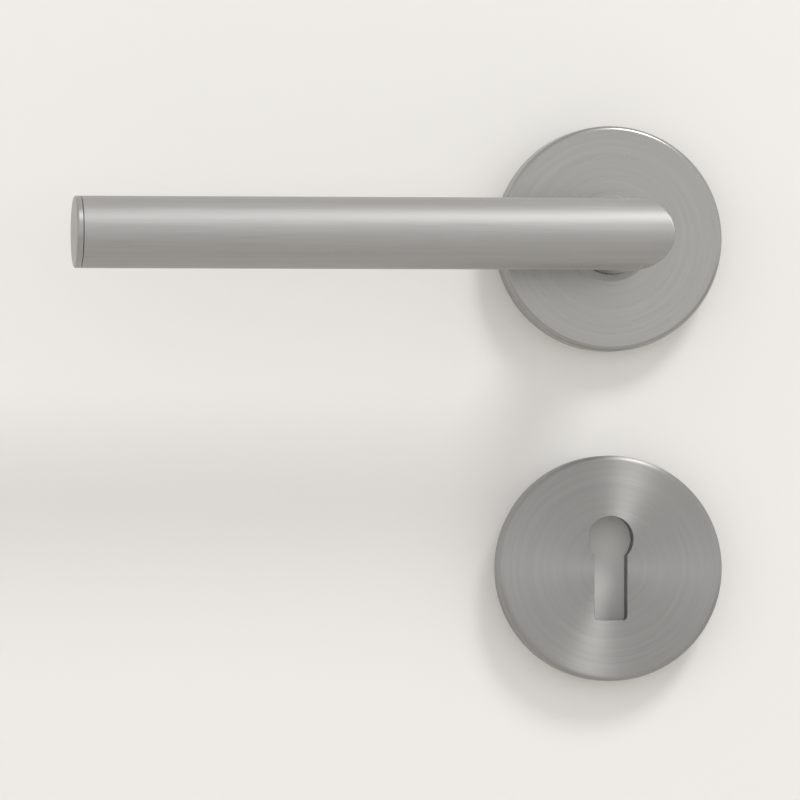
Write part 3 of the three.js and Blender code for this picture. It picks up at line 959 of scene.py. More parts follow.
    def socket(self) -> bpy.types.Object:
        """Make the neck socket.

        Formula: one stack of rings from the square hole's floor, out to its mouth, over the
        hub's end and up the outside. A square ring's radius is half its width divided by the
        18-norm of (cos a, sin a), and the driver's flats clip a round one where the ring
        would pass above them.

        Returns:
            The socket: a turned sleeve with a square hole, a ring groove and a cross hole.
        """
        node = self.node("neck_socket")
        near, far = depths_of(node)
        hub, square = radius_of(node, axis=2), self.socket_width / 2
        ring_near, ring_far = depths_of(self.node("retaining_ring"))
        ring_near, ring_far = ring_near - self.gap, ring_far + self.gap
        shoulder = depths_of(self.node("lever_tube"))[0] - self.gap
        flat_start = depths_of(self.node("driver_plate"))[1] - self.flat_start
        groove, neck = hub - self.groove_depth, hub - self.neck_step
        floor = corners_of("spindle")[1][1] + self.socket_floor
        drawn_round, drawn_square, drawn_flat = range(3)
        rows = [
            (square, floor, drawn_square),
            (square, near + self.mouth_depth, drawn_square),
            (square + self.mouth_width, near, drawn_square),
            (hub - self.hub_chamfer, near, drawn_round),
            (hub, near + self.hub_chamfer, drawn_round),
            (hub, ring_near, drawn_round),
            (groove, ring_near, drawn_round),
            (groove, ring_far, drawn_round),
            (hub, ring_far, drawn_round),
            (hub, flat_start, drawn_round),
            (hub, flat_start, drawn_flat),
            (hub, shoulder, drawn_flat),
            (neck, shoulder, drawn_round),
            (neck, far - self.neck_chamfer, drawn_round),
            (neck - self.neck_chamfer, far, drawn_round),
        ]
        table = np.array(rows, float)
        angle = np.linspace(0, 2 * math.pi, MEDIUM, endpoint=False)
        power = 18
        norm = (np.abs(np.cos(angle)) ** power + np.abs(np.sin(angle)) ** power) ** (1 / power)
        shapes = np.stack([np.ones(MEDIUM), 1 / norm, clipped(1.0, self.flat / hub, angle)])
        rings = turned(
            table[:, :2], MEDIUM, (0, self.face.value, 0), shape=shapes[table[:, 2].astype(int)]
        )
        body = skin(self.node("socket"), rings, Ends.CAPPED)
        return machined(body, cut=[self.grub_drill(self.grub_play, 2 * hub)])

    def grub(self) -> bpy.types.Object:
        """Make the grub screw.

        Formula: one stack of rings from the socket's floor, out to its mouth and down the
        thread. A hexagon ring's radius is half the width across flats divided by the cosine
        of the angle to the middle of the nearest flat.

        Returns:
            The screw: a threaded stub with a hexagon socket and a cup point.
        """
        node = self.node("grub_screw")
        low, high = corners_of(node)
        radius, flat = radius_of(node), self.hexagon / 2
        mouth, point = -low[2], -high[2]
        start, end = mouth - self.grub_chamfer, point + self.grub_point
        inside = [
            (flat, mouth - self.hexagon_depth),
            (flat, mouth - self.hexagon_chamfer),
            (flat + self.hexagon_chamfer, mouth),
        ]
        outside = [(radius - self.grub_chamfer, mouth), (radius, start)]
        tip = [(radius, end), (radius - self.grub_point, point)]
        turns, cut = thread(radius, start, end, self.grub_pitch, SMALL)
        rows = np.concatenate([inside, outside, turns, tip])
        angle = np.linspace(0, 2 * math.pi, SMALL, endpoint=False)
        nearest = (angle + math.pi / 6) % (math.pi / 3) - math.pi / 6
        shape = np.ones((len(rows), SMALL))
        shape[: len(inside)] = 1 / np.cos(nearest)
        shape[len(inside) + len(outside) : -len(tip)] = cut
        centre = (0.0, middle_of(node)[1], 0.0)
        rings = turned(rows, SMALL, (0, 0, -1), centre, shape)
        return skin(self.node("grub"), rings, Ends.CAPPED)

    def build(self) -> None:
        """Make the lever's pieces, dress them and let them ride with the levers."""
        for piece, node, finish, slot in (
            (self.tube(), "lever_tube", SATIN_TUBE, "satin_stainless"),
            (self.cap(), "tip_cap", SATIN_CAP, "satin_stainless"),
            (self.socket(), "neck_socket", TURNED_STEEL, "turned_steel"),
            (self.grub(), "grub_screw", SPRING_STEEL, "spring_steel"),
        ):
            finish.dress(piece, slot)
            fit(piece, LEVER_BODY, self.node(node))


# ---- The rose ------------------------------------------------------------------------------


@dataclass
class RoundRose(OneFace):
    """What the lever's rose and the key escutcheon share: a thin cup over a bolted carrier."""

    wall: float = 1.0
    edge: float = 1.1
    rim_edge: float = 0.15
    opening_edge: float = 0.12
    inner_corner: float = 0.5
    carrier_radius: float = 25.7
    face_depth: float = 6.8  # the carrier's face, from the door
    broken_edge: float = 0.2
    bolt_spacing: float = 38.0
    post: float = 4.0
    sleeve_hole: float = 3.2
    bolt_hole: float = 2.3
    head_seat: float = 3.8
    head_depth: float = 3.4
    pocket_ring: tuple[float, float] = (19.2, 23.8)  # the radii of the lightening pockets
    pocket_floor: float = 2.4  # from the door
    pocket_start: int = 22  # degrees
    pocket_sweep: int = 46

    def cup(self, node: str, opening: Sequence[tuple[float, float]]) -> np.ndarray:
        """Return the cup's profile.

        Args:
            node: the cover's CAD node.
            opening: corner points of the opening's edge, as (radius, share of the wall).

        Returns:
            A closed profile of (radius, depth) rows that starts with the opening's rows.
        """
        radius = radius_of(node)
        door, face = depths_of(node)
        bore, inside = radius - self.wall, face - self.wall
        return rounded(
            [*opening, (radius, face), (radius, door), (bore, door), (bore, inside)],
            [
                *[self.opening_edge] * len(opening),
                self.edge, self.rim_edge, self.rim_edge, self.inner_corner,
            ],
            steps=8,
        )

    def bolted(
        self,
        carrier: bpy.types.Object,
        node: str,
        door: float,
        joined: Sequence[bpy.types.Object] = (),
        cut: Sequence[bpy.types.Object] = (),
    ) -> bpy.types.Object:
        """Give a carrier its two posts, bolt holes, head seats and lightening pockets.

        Args:
            carrier: the round carrier.
            node: its CAD node.
            door: the depth of the door's face.
            joined: more blanks to add.
            cut: more blanks to take away.

        Returns:
            The finished carrier.
        """
        side, centre_z, post_end = self.face.value, middle_of(node)[2], depths_of(node)[0]
        hole = self.sleeve_hole if self.face is Face.FRONT else self.bolt_hole
        face = door + self.face_depth
        joined, cut = list(joined), list(cut)
        for z in (centre_z - self.bolt_spacing / 2, centre_z + self.bolt_spacing / 2):
            joined.append(block(circle(self.post, SMALL, z=z), post_end, door + PAST, side))
            cut.append(block(circle(hole, SMALL, z=z), post_end - PAST, face + PAST, side))
            seat = circle(self.head_seat, SMALL, z=z)
            cut.append(block(seat, face - self.head_depth, face + PAST, side))
        for start in range(self.pocket_start, 360, 90):
            pocket = sector(*self.pocket_ring, start, start + self.pocket_sweep)
            pocket += np.array([0.0, centre_z])
            cut.append(block(pocket, door + self.pocket_floor, face + PAST, side))
        return machined(carrier, joined, cut, self.broken_edge)


@dataclass
class Rose(RoundRose):
    """The lever's sprung rose: cover, guide ring, carrier, bush, driver, spring and rings."""

    bead_overlap: float = 0.6  # of the guide ring over the cover's opening
    bead_step: float = 0.7
    bead_width: float = 1.65
    bead_height: float = 0.4
    recess: float = 10.2
    recess_depth: float = 2.5
    well_inside: float = 10.8  # the round well that the spring lies in
    well_outside: float = 15.6
    well_floor: float = 2.2
    web_depth: float = 6.4
    stop_ring: tuple[float, float] = (15.9, 18.5)
    stop_sweep: float = 12.0  # degrees
    stop_play: float = 1.0  # degrees between a stop and the driver's ear
    travel: float = 40.0  # degrees
    flange_width: float = 1.2
    flange_thickness: float = 0.6
    bush_seat: float = 1.1  # from the flange's edge to the carrier's bore
    bush_width: float = 2.8  # from the flange's edge to the bush's bore
    driver_radius: float = 15.4
    driver_hole: float = 7.6
    driver_flat: float = 6.9  # from the axis
    driver_edge: float = 0.08
    ear_height: float = 2.5
    ear_half_angle: float = 9.0
    tab_ring: tuple[float, float] = (14.0, 15.3)
    tab_half_angle: float = 7.0
    tab_length: float = 2.8
    tab_root: float = 0.3
    coil_radius: float = 13.1
    wire: float = 1.2
    spring_turns: int = 2
    spring_rows: int = 420
    fixed_leg: float = 120.0  # degrees
    fixed_reach: float = 17.0  # of the fixed leg's end, from the axis
    moving_leg: float = 191.0
    moving_reach: float = 15.2
    leg_bend: float = 1.2
    leg_slot_reach: float = 17.3
    leg_slot_play: float = 0.6
    washer_width: float = 2.25
    clip_ring: tuple[float, float] = (6.7, 8.9)
    clip_opening: float = 48.0  # degrees, at the bottom
    clip_edge: float = 0.08
    eye_turn: float = 4.0  # degrees from the opening
    eye_place: float = 8.45  # from the axis
    eye: float = 1.3
    eye_hole: float = 0.65

    def round_piece(self, name: str, profile: np.ndarray, segments: int) -> bpy.types.Object:
        """Return a closed profile of (radius, depth) rows turned about the spindle's axis."""
        rings = turned(profile, segments, (0, self.face.value, 0))
        return skin(self.node(name), rings, Ends.LOOP)

    def cover(self) -> bpy.types.Object:
        """Make the cover.

        Returns:
            The cup with its round opening.
        """
        node = self.node("rose_cover")
        opening = radius_of(self.node("guide_ring")) - self.bead_overlap
        face = depths_of(node)[1]
        profile = self.cup(node, [(opening, face - self.wall), (opening, face)])
        return self.round_piece("rose", profile, FINE)

    def guide(self) -> bpy.types.Object:
        """Make the guide ring.

        Returns:
            The ring: a sleeve in the cover's opening, with a bead over its edge.
        """
        node = self.node("guide_ring")
        near, far = depths_of(node)
        bead = radius_of(node)
        sleeve, bore, step = bead - self.bead_step, bead - self.bead_width, far - self.bead_height
        corners = [
            (bore, near), (sleeve, near), (sleeve, step), (bead, step), (bead, far), (bore, far),
        ]
        profile = rounded(corners, [0.1, 0.1, 0.05, 0.08, 0.28, 0.12])
        return self.round_piece("guide", profile, FINE)

    def carrier(self) -> bpy.types.Object:
        """Make the carrier.

        Returns:
            The casting, with the spring's well and the driver's two stops.
        """
        node, side = self.node("rose_carrier"), self.face.value
        door = depths_of(self.node("rose_cover"))[0]
        face, web, floor, recess = (
            door + depth
            for depth in (self.face_depth, self.web_depth, self.well_floor, self.recess_depth)
        )
        bore = radius_of(self.node("neck_bush")) - self.bush_seat
        corners = [
            (self.recess, door), (self.carrier_radius, door), (self.carrier_radius, face),
            (self.well_outside, face), (self.well_outside, floor), (self.well_inside, floor),
            (self.well_inside, web), (bore, web), (bore, recess), (self.recess, recess),
        ]
        casting = self.round_piece("carrier", rounded(corners, 0.15, steps=2), MEDIUM)
        ear, top = self.ear_half_angle + self.stop_play, depths_of(node)[1]
        stops = [
            block(sector(*self.stop_ring, at, at + self.stop_sweep), face - PAST, top, side)
            for at in (-ear - self.stop_sweep, self.travel + ear)
        ]
        width = self.wire + self.leg_slot_play
        slot = spoke(self.well_outside - PAST, self.leg_slot_reach, self.fixed_leg, width)
        return self.bolted(casting, node, door, stops, [block(slot, floor, face + PAST, side)])

    def bush(self) -> bpy.types.Object:
        """Make the bush that the neck turns in.

        Returns:
            The flanged bush.
        """
        node = self.node("neck_bush")
        near, far = depths_of(node)
        flange = radius_of(node)
        tube, bore, step = (
            flange - self.flange_width, flange - self.bush_width, far - self.flange_thickness,
        )
        corners = [
            (bore, near), (tube, near), (tube, step), (flange, step), (flange, far), (bore, far),
        ]
        return self.round_piece("bush", rounded(corners, [0.15, 0.3, 0.05, 0.1, 0.2, 0.2]), MEDIUM)

    def driver(self) -> bpy.types.Object:
        """Make the driver plate.

        Formula: the outside is the disc's radius plus the ear's step, which rises over one
        degree at either side; the hole is the hub's circle clipped by the two flats.

        Returns:
            The plate: a disc with an ear, two flats in its hole and a bent tab.
        """
        side = self.face.value
        tab_end, far = depths_of(self.node("driver_plate"))
        near = tab_end + self.tab_length
        degrees = np.linspace(0, 360, 4 * MEDIUM, endpoint=False)
        angle = np.radians(degrees)
        from_ear = np.abs((degrees + 180) % 360 - 180)
        rise = np.clip(self.ear_half_angle + 0.5 - from_ear, 0, 1)
        outside = self.driver_radius + self.ear_height * rise
        hole = clipped(self.driver_hole, self.driver_flat, angle)
        section = rounded([(0, near), (1, near), (1, far), (0, far)], self.driver_edge, steps=2)
        share = np.clip(section[:, :1], 0, 1)
        radius = np.where(section[:, :1] > 0.5, outside + (share - 1), hole + share)
        y = np.broadcast_to(side * section[:, 1:], radius.shape)
        rings = np.stack([radius * np.cos(angle), y, radius * np.sin(angle)], axis=-1)
        plate = skin(self.node("driver"), rings, Ends.LOOP)
        tab = sector(*self.tab_ring, 180 - self.tab_half_angle, 180 + self.tab_half_angle)
        return machined(plate, joined=[block(tab, tab_end, near + self.tab_root, side)])

    def spring(self) -> bpy.types.Object:
        """Make the torsion spring, wound from its fixed leg to its moving leg.

        Formula: drawn flat, with the way around as length, the wire is a U: down one leg,
        along the coils and up the other leg, with bent corners. Rolled up, a point at the
        length s and the height h stands at radius coil + h and angle fixed leg + s / coil,
        and its depth grows evenly with s.

        Returns:
            The wound wire.
        """
        coil, half = self.coil_radius, self.wire / 2
        near, far = depths_of(self.node("return_spring"))
        sweep = math.radians(360 * self.spring_turns + self.moving_leg - self.fixed_leg)
        length = sweep * coil
        legs = [(0, self.fixed_reach - coil), (0, 0), (length, 0), (length, self.moving_reach - coil)]
        drawing = rounded(legs, self.leg_bend, closed=False, steps=8)
        pieces = np.linalg.norm(np.diff(drawing, axis=0), axis=1)
        travelled = np.concatenate([[0], np.cumsum(pieces)])
        stations = np.union1d(np.linspace(0, travelled[-1], self.spring_rows), travelled)
        least_step = 0.05  # so that no two rings fall together
        stations = stations[np.concatenate([[True], np.diff(stations) > least_step])]
        along = np.interp(stations, travelled, drawing[:, 0])
        radius = coil + np.interp(stations, travelled, drawing[:, 1])
        angle = math.radians(self.fixed_leg) + along / coil
        depth = near + half + (far - near - self.wire) * along / length
        flat = [radius * np.cos(angle), self.face.value * depth, radius * np.sin(angle)]
        return swept(self.node("spring"), np.stack(flat, axis=1), half, 12)

    def washer(self) -> bpy.types.Object:
        """Make the thrust washer between the bush and the retaining ring.

        Returns:
            The washer.
        """
        node = self.node("thrust_washer")
        near, far = depths_of(node)
        outside = radius_of(node)
        inside = outside - self.washer_width
        corners = [(inside, near), (outside, near), (outside, far), (inside, far)]
        return self.round_piece("washer", rounded(corners, 0.1, steps=3), MEDIUM)

    def clip(self) -> bpy.types.Object:
        """Make the retaining ring.

        Returns:
            The open ring, with an eye at each end for the pliers.
        """
        side = self.face.value
        near, far = depths_of(self.node("retaining_ring"))
        start, end = -90 + self.clip_opening / 2, 270 - self.clip_opening / 2
        band = block(sector(*self.clip_ring, start, end), near, far, side)
        eyes, holes = [], []
        for degrees in (start + self.eye_turn, end - self.eye_turn):
            turn = math.radians(degrees)
            x, z = self.eye_place * math.cos(turn), self.eye_place * math.sin(turn)
            eyes.append(block(circle(self.eye, SMALL, x, z), near, far, side))
            hole = circle(self.eye_hole, SMALL, x, z)
            holes.append(block(hole, near - PAST, far + PAST, side))
        clip = machined(band, eyes, holes, self.clip_edge)
        clip.name = clip.data.name = self.node("clip")
        return clip

    def build(self) -> None:
        """Make the rose's pieces, dress them and let each but the spring ride on its body."""
        for piece, node, finish, slot, body in (
            (self.cover(), "rose_cover", FINE_ROSE, "satin_stainless", ROOT_BODY),
            (self.guide(), "guide_ring", SILVER_ACETAL, "grey_nylon", ROOT_BODY),
            (self.carrier(), "rose_carrier", DIE_CAST_ZINC, "zinc_casting", ROOT_BODY),
            (self.bush(), "neck_bush", NATURAL_NYLON, "natural_nylon", ROOT_BODY),
            (self.washer(), "thrust_washer", ZINC_PLATE, "plated_steel", ROOT_BODY),
            (self.driver(), "driver_plate", ZINC_PLATE, "plated_steel", LEVER_BODY),
            (self.clip(), "retaining_ring", SPRING_STEEL, "spring_steel", LEVER_BODY),
        ):
            finish.dress(piece, slot)
            fit(piece, body, self.node(node))
        self.fit_spring(self.spring())

    def fit_spring(self, spring: bpy.types.Object) -> None:
        """Dress the spring and leave it on no body, so that it keeps its rest shape.

        Args:
            spring: the wound wire.
        """
        node, side = self.node("return_spring"), self.face.value
        SPRING_STEEL.dress(spring, "spring_steel")
        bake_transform(spring)
        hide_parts(node)
        log.info("%s: %d faces, across the joint", spring.name, len(spring.data.polygons))


# ---- The key escutcheon --------------------------------------------------------------------


@dataclass
class KeyEscutcheon(RoundRose):
    """The key escutcheon: a cup with a keyhole over a moulded carrier."""

    bow: float = 5.5
    slot_width: float = 8.0
    axis_rise: float = 7.0  # the bow's centre above the escutcheon's
    foot: float = 12.5  # the slot's end below the escutcheon's centre
    foot_corner: float = 1.2
    opening: float = 0.5  # how much wider the carrier's keyhole is, all round
    collar: float = 2.1  # from the keyhole's outline to the collar's outside
    collar_chamfer: float = 0.2
    carrier_chamfer: float = 0.3
    pocket_ring: tuple[float, float] = (16.6, 23.6)

    def keyhole(self, margin: float | np.ndarray) -> np.ndarray:
        """Return the keyhole's reach from the escutcheon's centre at each angle.

        Formula: a ray from the centre leaves the slot at half its width / |cos a| or at its
        end / |sin a|, whichever is nearer, or through the round of its foot's corner; it
        leaves the bow at rise sin a + sqrt(bow² - rise² cos² a). The reach is the further of
        the two, as the bow and the slot overlap.

        Args:
            margin: how much wider the outline is all round, one number or one for each row.

        Returns:
            Rows × columns of distances.
        """
        margin = np.atleast_1d(margin)[:, None]
        angle = np.linspace(0, 2 * math.pi, 2 * FINE, endpoint=False)[None]
        across, up = np.abs(np.cos(angle)), np.sin(angle)
        half, foot = self.slot_width / 2 + margin, self.foot + margin
        end = np.where(up < 0, foot, self.axis_rise)
        least = 1e-6  # keeps the far side's distance finite
        slot = np.minimum(half / np.maximum(across, least), end / np.maximum(np.abs(up), least))
        corner = self.foot_corner
        toward = across * (half - corner) - up * (foot - corner)
        beyond = (half - corner) ** 2 + (foot - corner) ** 2 - corner**2
        around_corner = toward + np.sqrt(np.maximum(toward**2 - beyond, 0))
        in_corner = (slot * across > half - corner) & (-slot * up > foot - corner)
        slot = np.where(in_corner, around_corner, slot)
        inside = (self.bow + margin) ** 2 - (self.axis_rise * across) ** 2
        bow = self.axis_rise * up + np.sqrt(np.maximum(inside, 0))
        return np.maximum(slot, np.where((inside > 0) & (up > 0), bow, 0))

    def rings(self, edges: np.ndarray, round_rows: np.ndarray, centre_z: float) -> np.ndarray:
        """Join rows that follow the keyhole to round ones.

        Args:
            edges: (margin, depth) rows that follow the keyhole's outline.
            round_rows: (radius, depth) rows.
            centre_z: the height of the escutcheon's centre.

        Returns:
            The rings of both, in that order.
        """
        holes = np.stack([np.ones(len(edges)), edges[:, 1]], axis=1)
        rows = np.concatenate([holes, round_rows])
        shape = np.ones((len(rows), 2 * FINE))
        shape[: len(edges)] = self.keyhole(edges[:, 0])
        return turned(rows, 2 * FINE, (0, self.face.value, 0), (0, 0, centre_z), shape)

    def cover(self) -> bpy.types.Object:
        """Make the cover.

        The cup is drawn with a round opening of a stand-in radius. What its rows have more
        than that radius becomes their margin about the keyhole.

        Returns:
            The cup with its keyhole.
        """
        node, stand_in = self.node("key_cover"), 1.0
        face = depths_of(node)[1]
        profile = self.cup(node, [(stand_in, face - self.wall), (stand_in, face)])
        at_hole = profile[:, 0] < 2 * stand_in
        edges = profile[at_hole] - np.array([stand_in, 0.0])
        rings = self.rings(edges, profile[~at_hole], middle_of(node)[2])
        return skin(self.node("key_plate"), rings, Ends.LOOP)

    def carrier(self) -> bpy.types.Object:
        """Make the carrier.

        Returns:
            The moulded carrier, with its collar round the keyhole.
        """
        node = self.node("key_carrier")
        door = depths_of(self.node("key_cover"))[0]
        face, top = door + self.face_depth, depths_of(node)[1]
        opening, collar, bevel = self.opening, self.collar, self.collar_chamfer
        edges = [
            (collar, face), (collar, top - bevel), (collar - bevel, top),
            (opening + bevel, top), (opening, top - bevel), (opening, door),
        ]
        radius, chamfer = self.carrier_radius, self.carrier_chamfer
        outside = [(radius, door), (radius, face - chamfer), (radius - chamfer, face)]
        rings = self.rings(np.array(edges), np.array(outside), middle_of(node)[2])
        return self.bolted(skin(self.node("key_body"), rings, Ends.LOOP), node, door)

    def build(self) -> None:
        """Make the escutcheon's two pieces, dress them and fix them to the door."""
        centre_z = float(middle_of(self.node("key_cover"))[2])
        key_rose = replace(SPUN_ROSE, centre_z=centre_z)
        plate, body = self.cover(), self.carrier()
        key_rose.dress(plate, "satin_stainless")
        GREY_NYLON.dress(body, "grey_nylon")
        fit(plate, ROOT_BODY, self.node("key_cover"))
        fit(body, ROOT_BODY, self.node("key_carrier"))


# ---- The spindle and the through fixings ---------------------------------------------------


@dataclass
class ThroughFixings:
    """What passes through the door: the square spindle, the bolts and their sleeve nuts."""

    spindle_corner: float = 0.6
    spindle_chamfer: float = 0.5
    pitch: float = 0.7
    bolt_radius: float = 2.0
    bolt_point: float = 0.5
    thread_end: float = 6.0  # the depth at which the bolt's thread ends
    bore: float = 2.15
    bore_floor: float = 20.4
    bore_chamfer: tuple[float, float] = (0.3, 0.4)  # its width and depth
    barrel: float = 2.9
    barrel_chamfer: float = 0.25
    head_height: float = 2.4
    head_overhang: float = 0.8
    driver_slot: float = 1.0
    slot_depth: float = 1.1

    def spindle(self) -> bpy.types.Object:
        """Make the spindle.

        Returns:
            The square bar, with rounded corners and chamfered ends.
        """
        low, high = corners_of("spindle")
        width, chamfer = high[0] - low[0], self.spindle_chamfer
        outline = rounded(rectangle(width, width), self.spindle_corner, steps=4)
        rings = layers(outline, [low[1], low[1] + chamfer, high[1] - chamfer, high[1]], 1)
        share = 1 - 2 * chamfer / width
        rings[[0, -1]] *= np.array([share, 1, share])
        return skin("square_spindle", rings, Ends.CAPPED)

    def head(self, node: str, side: int) -> tuple[list[tuple[float, float]], bpy.types.Object]:
        """Return a cheese head's rows, from the edge under it to its middle, and its slot.

        Args:
            node: the bolt's or the sleeve's CAD node.
            side: the side of the door that the head is on.

        Returns:
            Rows of (radius, depth), and the blank that cuts the driver's slot.
        """
        low, high = corners_of(node)
        radius = radius_of(node)
        top = max(side * low[1], side * high[1])
        under = top - self.head_height
        crown = rounded(
            [(radius - self.head_overhang, under), (radius, under), (radius, top), (PIP, top)],
            [0.1, 0.15, 0.5, 0.1],
            closed=False,
        )
        outline = rectangle(3 * radius, self.driver_slot, *middle_of(node)[[0, 2]])
        slot = block(outline, top - self.slot_depth, top + PAST, side)
        return [tuple(row) for row in crown[1:]], slot

    def bolt(self, node: str) -> bpy.types.Object:
        """Make a slotted bolt whose thread takes up its last third.

        Args:
            node: its CAD node.

        Returns:
            The bolt.
        """
        low, high = corners_of(node)
        x, _, z = middle_of(node)
        crown, slot = self.head(node, 1)
        radius, tip, start, end = self.bolt_radius, low[1], low[1] + self.bolt_point, self.thread_end
        point = [(radius - self.bolt_point, tip), (radius, start)]
        turns, cut = thread(radius, start, end, self.pitch, SMALL)
        apart = 0.1  # keeps the shank's first row off the thread's last
        shank = [(radius, end + apart), (radius, high[1] - self.head_height)]
        rows = np.concatenate([point, turns, shank, crown])
        shape = np.ones((len(rows), SMALL))
        shape[len(point) : len(point) + len(turns)] = cut
        rings = turned(rows, SMALL, (0, 1, 0), (x, 0, z), shape)
        return machined(skin(node.replace("bolt", "screw"), rings, Ends.CAPPED), cut=[slot])

    def sleeve(self, node: str) -> bpy.types.Object:
        """Make a sleeve nut.

        Args:
            node: its CAD node.

        Returns:
            The nut: a barrel with a blind threaded bore and a slotted head.
        """
        mouth = -corners_of(node)[1][1]
        x, _, z = middle_of(node)
        crown, slot = self.head(node, -1)
        widening, countersink = self.bore_chamfer
        barrel, bevel = self.barrel, self.barrel_chamfer
        turns, cut = thread(self.bore, self.bore_floor, mouth + countersink, self.pitch, SMALL)
        rim = [(self.bore + widening, mouth), (barrel - bevel, mouth), (barrel, mouth + bevel)]
        rows = np.concatenate([turns, rim, [(barrel, crown[0][1])], crown])
        shape = np.ones((len(rows), SMALL))
        shape[: len(turns)] = 2 - cut
        rings = turned(rows, SMALL, (0, -1, 0), (x, 0, z), shape)
        return machined(skin(node.replace("sleeve", "nut"), rings, Ends.CAPPED), cut=[slot])

    def build(self) -> None:
        """Make the spindle, bolts and sleeve nuts and let each ride on its body."""
        spindle = self.spindle()
        DRAWN_STEEL.dress(spindle, "turned_steel")
        fit(spindle, LEVER_BODY, "spindle")
        for place in ("lever", "key"):
            for level in ("upper", "lower"):
                for kind, make in (("bolt", self.bolt), ("sleeve", self.sleeve)):
                    node = f"{place}_{kind}_{level}"
                    piece = make(node)
                    ZINC_PLATE.dress(piece, "plated_steel")
                    fit(piece, ROOT_BODY, node)


# ---- The studio ----------------------------------------------------------------------------


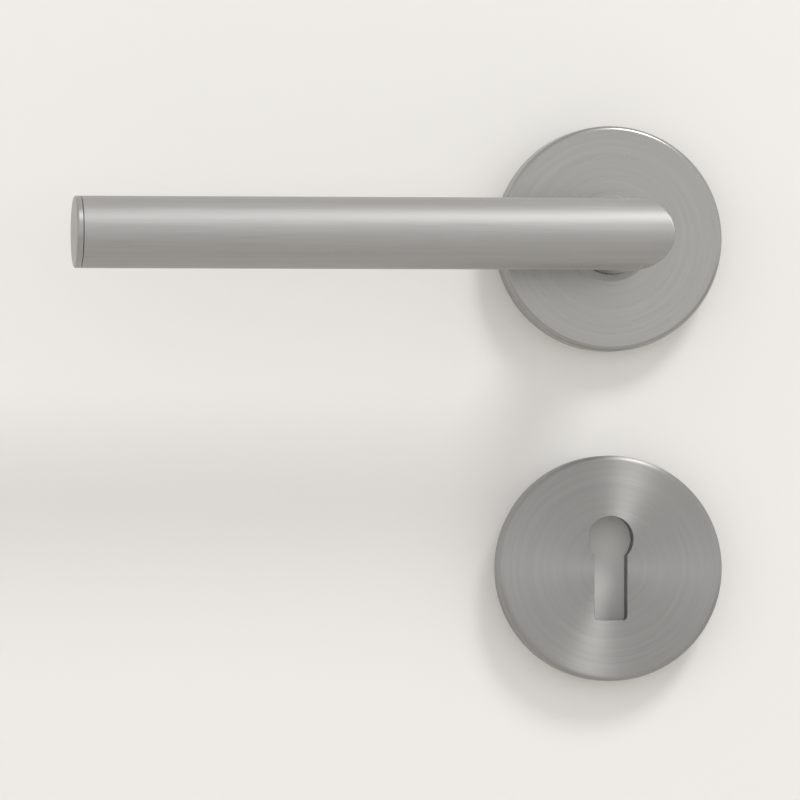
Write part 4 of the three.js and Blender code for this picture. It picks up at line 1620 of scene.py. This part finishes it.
@dataclass
class Studio:
    """The door's face, the floor, the light and the camera, in metres."""

    azimuth: float = -7.3  # degrees, from straight in front of the door
    elevation: float = -0.8
    distance: float = 2.6
    frame_width: float = 0.190  # what the picture's width takes in, at the handles
    aim: tuple[float, float, float] = (-0.053, -0.045, -0.039)
    sensor_width: float = 36.0  # millimetres
    clip_range: tuple[float, float] = (0.05, 30.0)
    floor_height: float = -1.05
    floor_reach: float = 6.0
    floor_colour: str = "#E4E2DE"
    door_gap: float = 0.0002  # from the roses' backs out to the painted face
    door_reach: float = 2.5
    door_top: float = 1.6
    door_colour: str = "#F0EEEA"
    paint_roughness: float = 0.75
    sky: float = 1.08  # at the horizon
    zenith: float = 0.56
    key_power: float = 21.5
    key_size: float = 0.70
    key_distance: float = 2.5
    key_direction: tuple[float, float, float] = (30.0, -47.5, 66.0)

    def plane(
        self, name: str, corners: Sequence[tuple[float, float, float]], material: bpy.types.Material
    ) -> None:
        """Add one big flat face of the backdrop.

        Args:
            name: its name.
            corners: four corners, counter-clockwise seen from its front.
            material: its material.
        """
        mesh = bpy.data.meshes.new(name)
        mesh.from_pydata(corners, [], [(0, 1, 2, 3)])
        mesh.materials.append(material)
        made = bpy.data.objects.new(name, mesh)
        bpy.context.scene.collection.objects.link(made)

    def paint(self, name: str, colour: str, see_through_back: bool) -> bpy.types.Material:
        """Return a plain matt paint, see-through from behind if asked.

        Args:
            name: its name.
            colour: its sRGB hex colour.
            see_through_back: whether the face's back lets the camera and the light through.

        Returns:
            The material.
        """
        made = bpy.data.materials.new(name)
        made.use_nodes = True
        tree = made.node_tree
        tree.nodes.clear()
        inputs = {"Base Color": linear(colour), "Roughness": self.paint_roughness}
        shown = add_node(tree, "ShaderNodeBsdfPrincipled", inputs).outputs[0]
        if see_through_back:
            back = add_node(tree, "ShaderNodeNewGeometry", {}).outputs["Backfacing"]
            clear = add_node(tree, "ShaderNodeBsdfTransparent", {}).outputs[0]
            shown = add_node(tree, "ShaderNodeMixShader", {0: back, 1: shown, 2: clear}).outputs[0]
        add_node(tree, "ShaderNodeOutputMaterial", {"Surface": shown})
        return made

    def backdrop(self) -> None:
        """Add the painted door's face just in front of the roses' backs, and the floor."""
        door = -(depths_of("front_rose_cover")[0] * MM + self.door_gap)
        low, high, side, reach = self.floor_height, self.door_top, self.door_reach, self.floor_reach
        self.plane(
            "painted_door",
            [(-side, door, low), (side, door, low), (side, door, high), (-side, door, high)],
            self.paint("matt_white_door_paint", self.door_colour, see_through_back=True),
        )
        self.plane(
            "floor",
            [(-reach, -reach, low), (reach, -reach, low), (reach, reach, low), (-reach, reach, low)],
            self.paint("pale_studio_floor", self.floor_colour, see_through_back=False),
        )

    def light(self) -> None:
        """Add a sky that dims a little overhead, and one soft round key light above the front."""
        world = bpy.data.worlds.new("studio_sky")
        world.use_nodes = True
        tree = world.node_tree
        tree.nodes.clear()
        towards = add_node(tree, "ShaderNodeTexCoord", {}).outputs["Generated"]
        height = add_node(tree, "ShaderNodeSeparateXYZ", {"Vector": towards}).outputs["Z"]
        limits = {"Value": height, "To Min": self.sky, "To Max": self.zenith}
        strength = add_node(tree, "ShaderNodeMapRange", limits).outputs[0]
        inputs = {"Color": (1.0, 1.0, 1.0, 1.0), "Strength": strength}
        sky = add_node(tree, "ShaderNodeBackground", inputs).outputs[0]
        add_node(tree, "ShaderNodeOutputWorld", {"Surface": sky})
        bpy.context.scene.world = world

        lamp = bpy.data.lights.new("key_light", "AREA")
        lamp.shape = "DISK"
        lamp.size = self.key_size
        lamp.energy = self.key_power
        key = bpy.data.objects.new("key_light", lamp)
        towards = Vector(self.key_direction).normalized()
        key.location = Vector(self.aim) + self.key_distance * towards
        key.rotation_euler = towards.to_track_quat("Z", "Y").to_euler()
        bpy.context.scene.collection.objects.link(key)

    def camera(self) -> None:
        """Aim a long lens at the front set from a little to the left and below."""
        azimuth, elevation = math.radians(self.azimuth), math.radians(self.elevation)
        towards = Vector(
            (
                math.sin(azimuth) * math.cos(elevation),
                -math.cos(azimuth) * math.cos(elevation),
                math.sin(elevation),
            )
        )
        made = bpy.data.cameras.new("camera")
        made.sensor_width = self.sensor_width
        made.lens = self.sensor_width * self.distance / self.frame_width
        made.clip_start, made.clip_end = self.clip_range
        camera = bpy.data.objects.new("camera", made)
        camera.location = Vector(self.aim) + self.distance * towards
        camera.rotation_euler = towards.to_track_quat("Z", "Y").to_euler()
        bpy.context.scene.collection.objects.link(camera)
        bpy.context.scene.camera = camera

    def build(self) -> None:
        """Set up the view transform, the backdrop, the light and the camera."""
        bpy.context.scene.view_settings.view_transform = "Standard"
        self.backdrop()
        self.light()
        self.camera()


def main() -> None:
    """Build the studio, then every sub-assembly in order."""
    logging.basicConfig(level=logging.INFO, format="%(name)s: %(message)s")
    Studio().build()
    for face in Face:
        Lever(face).build()
        Rose(face).build()
        KeyEscutcheon(face).build()
    ThroughFixings().build()


if __name__ == "__main__":
    main()
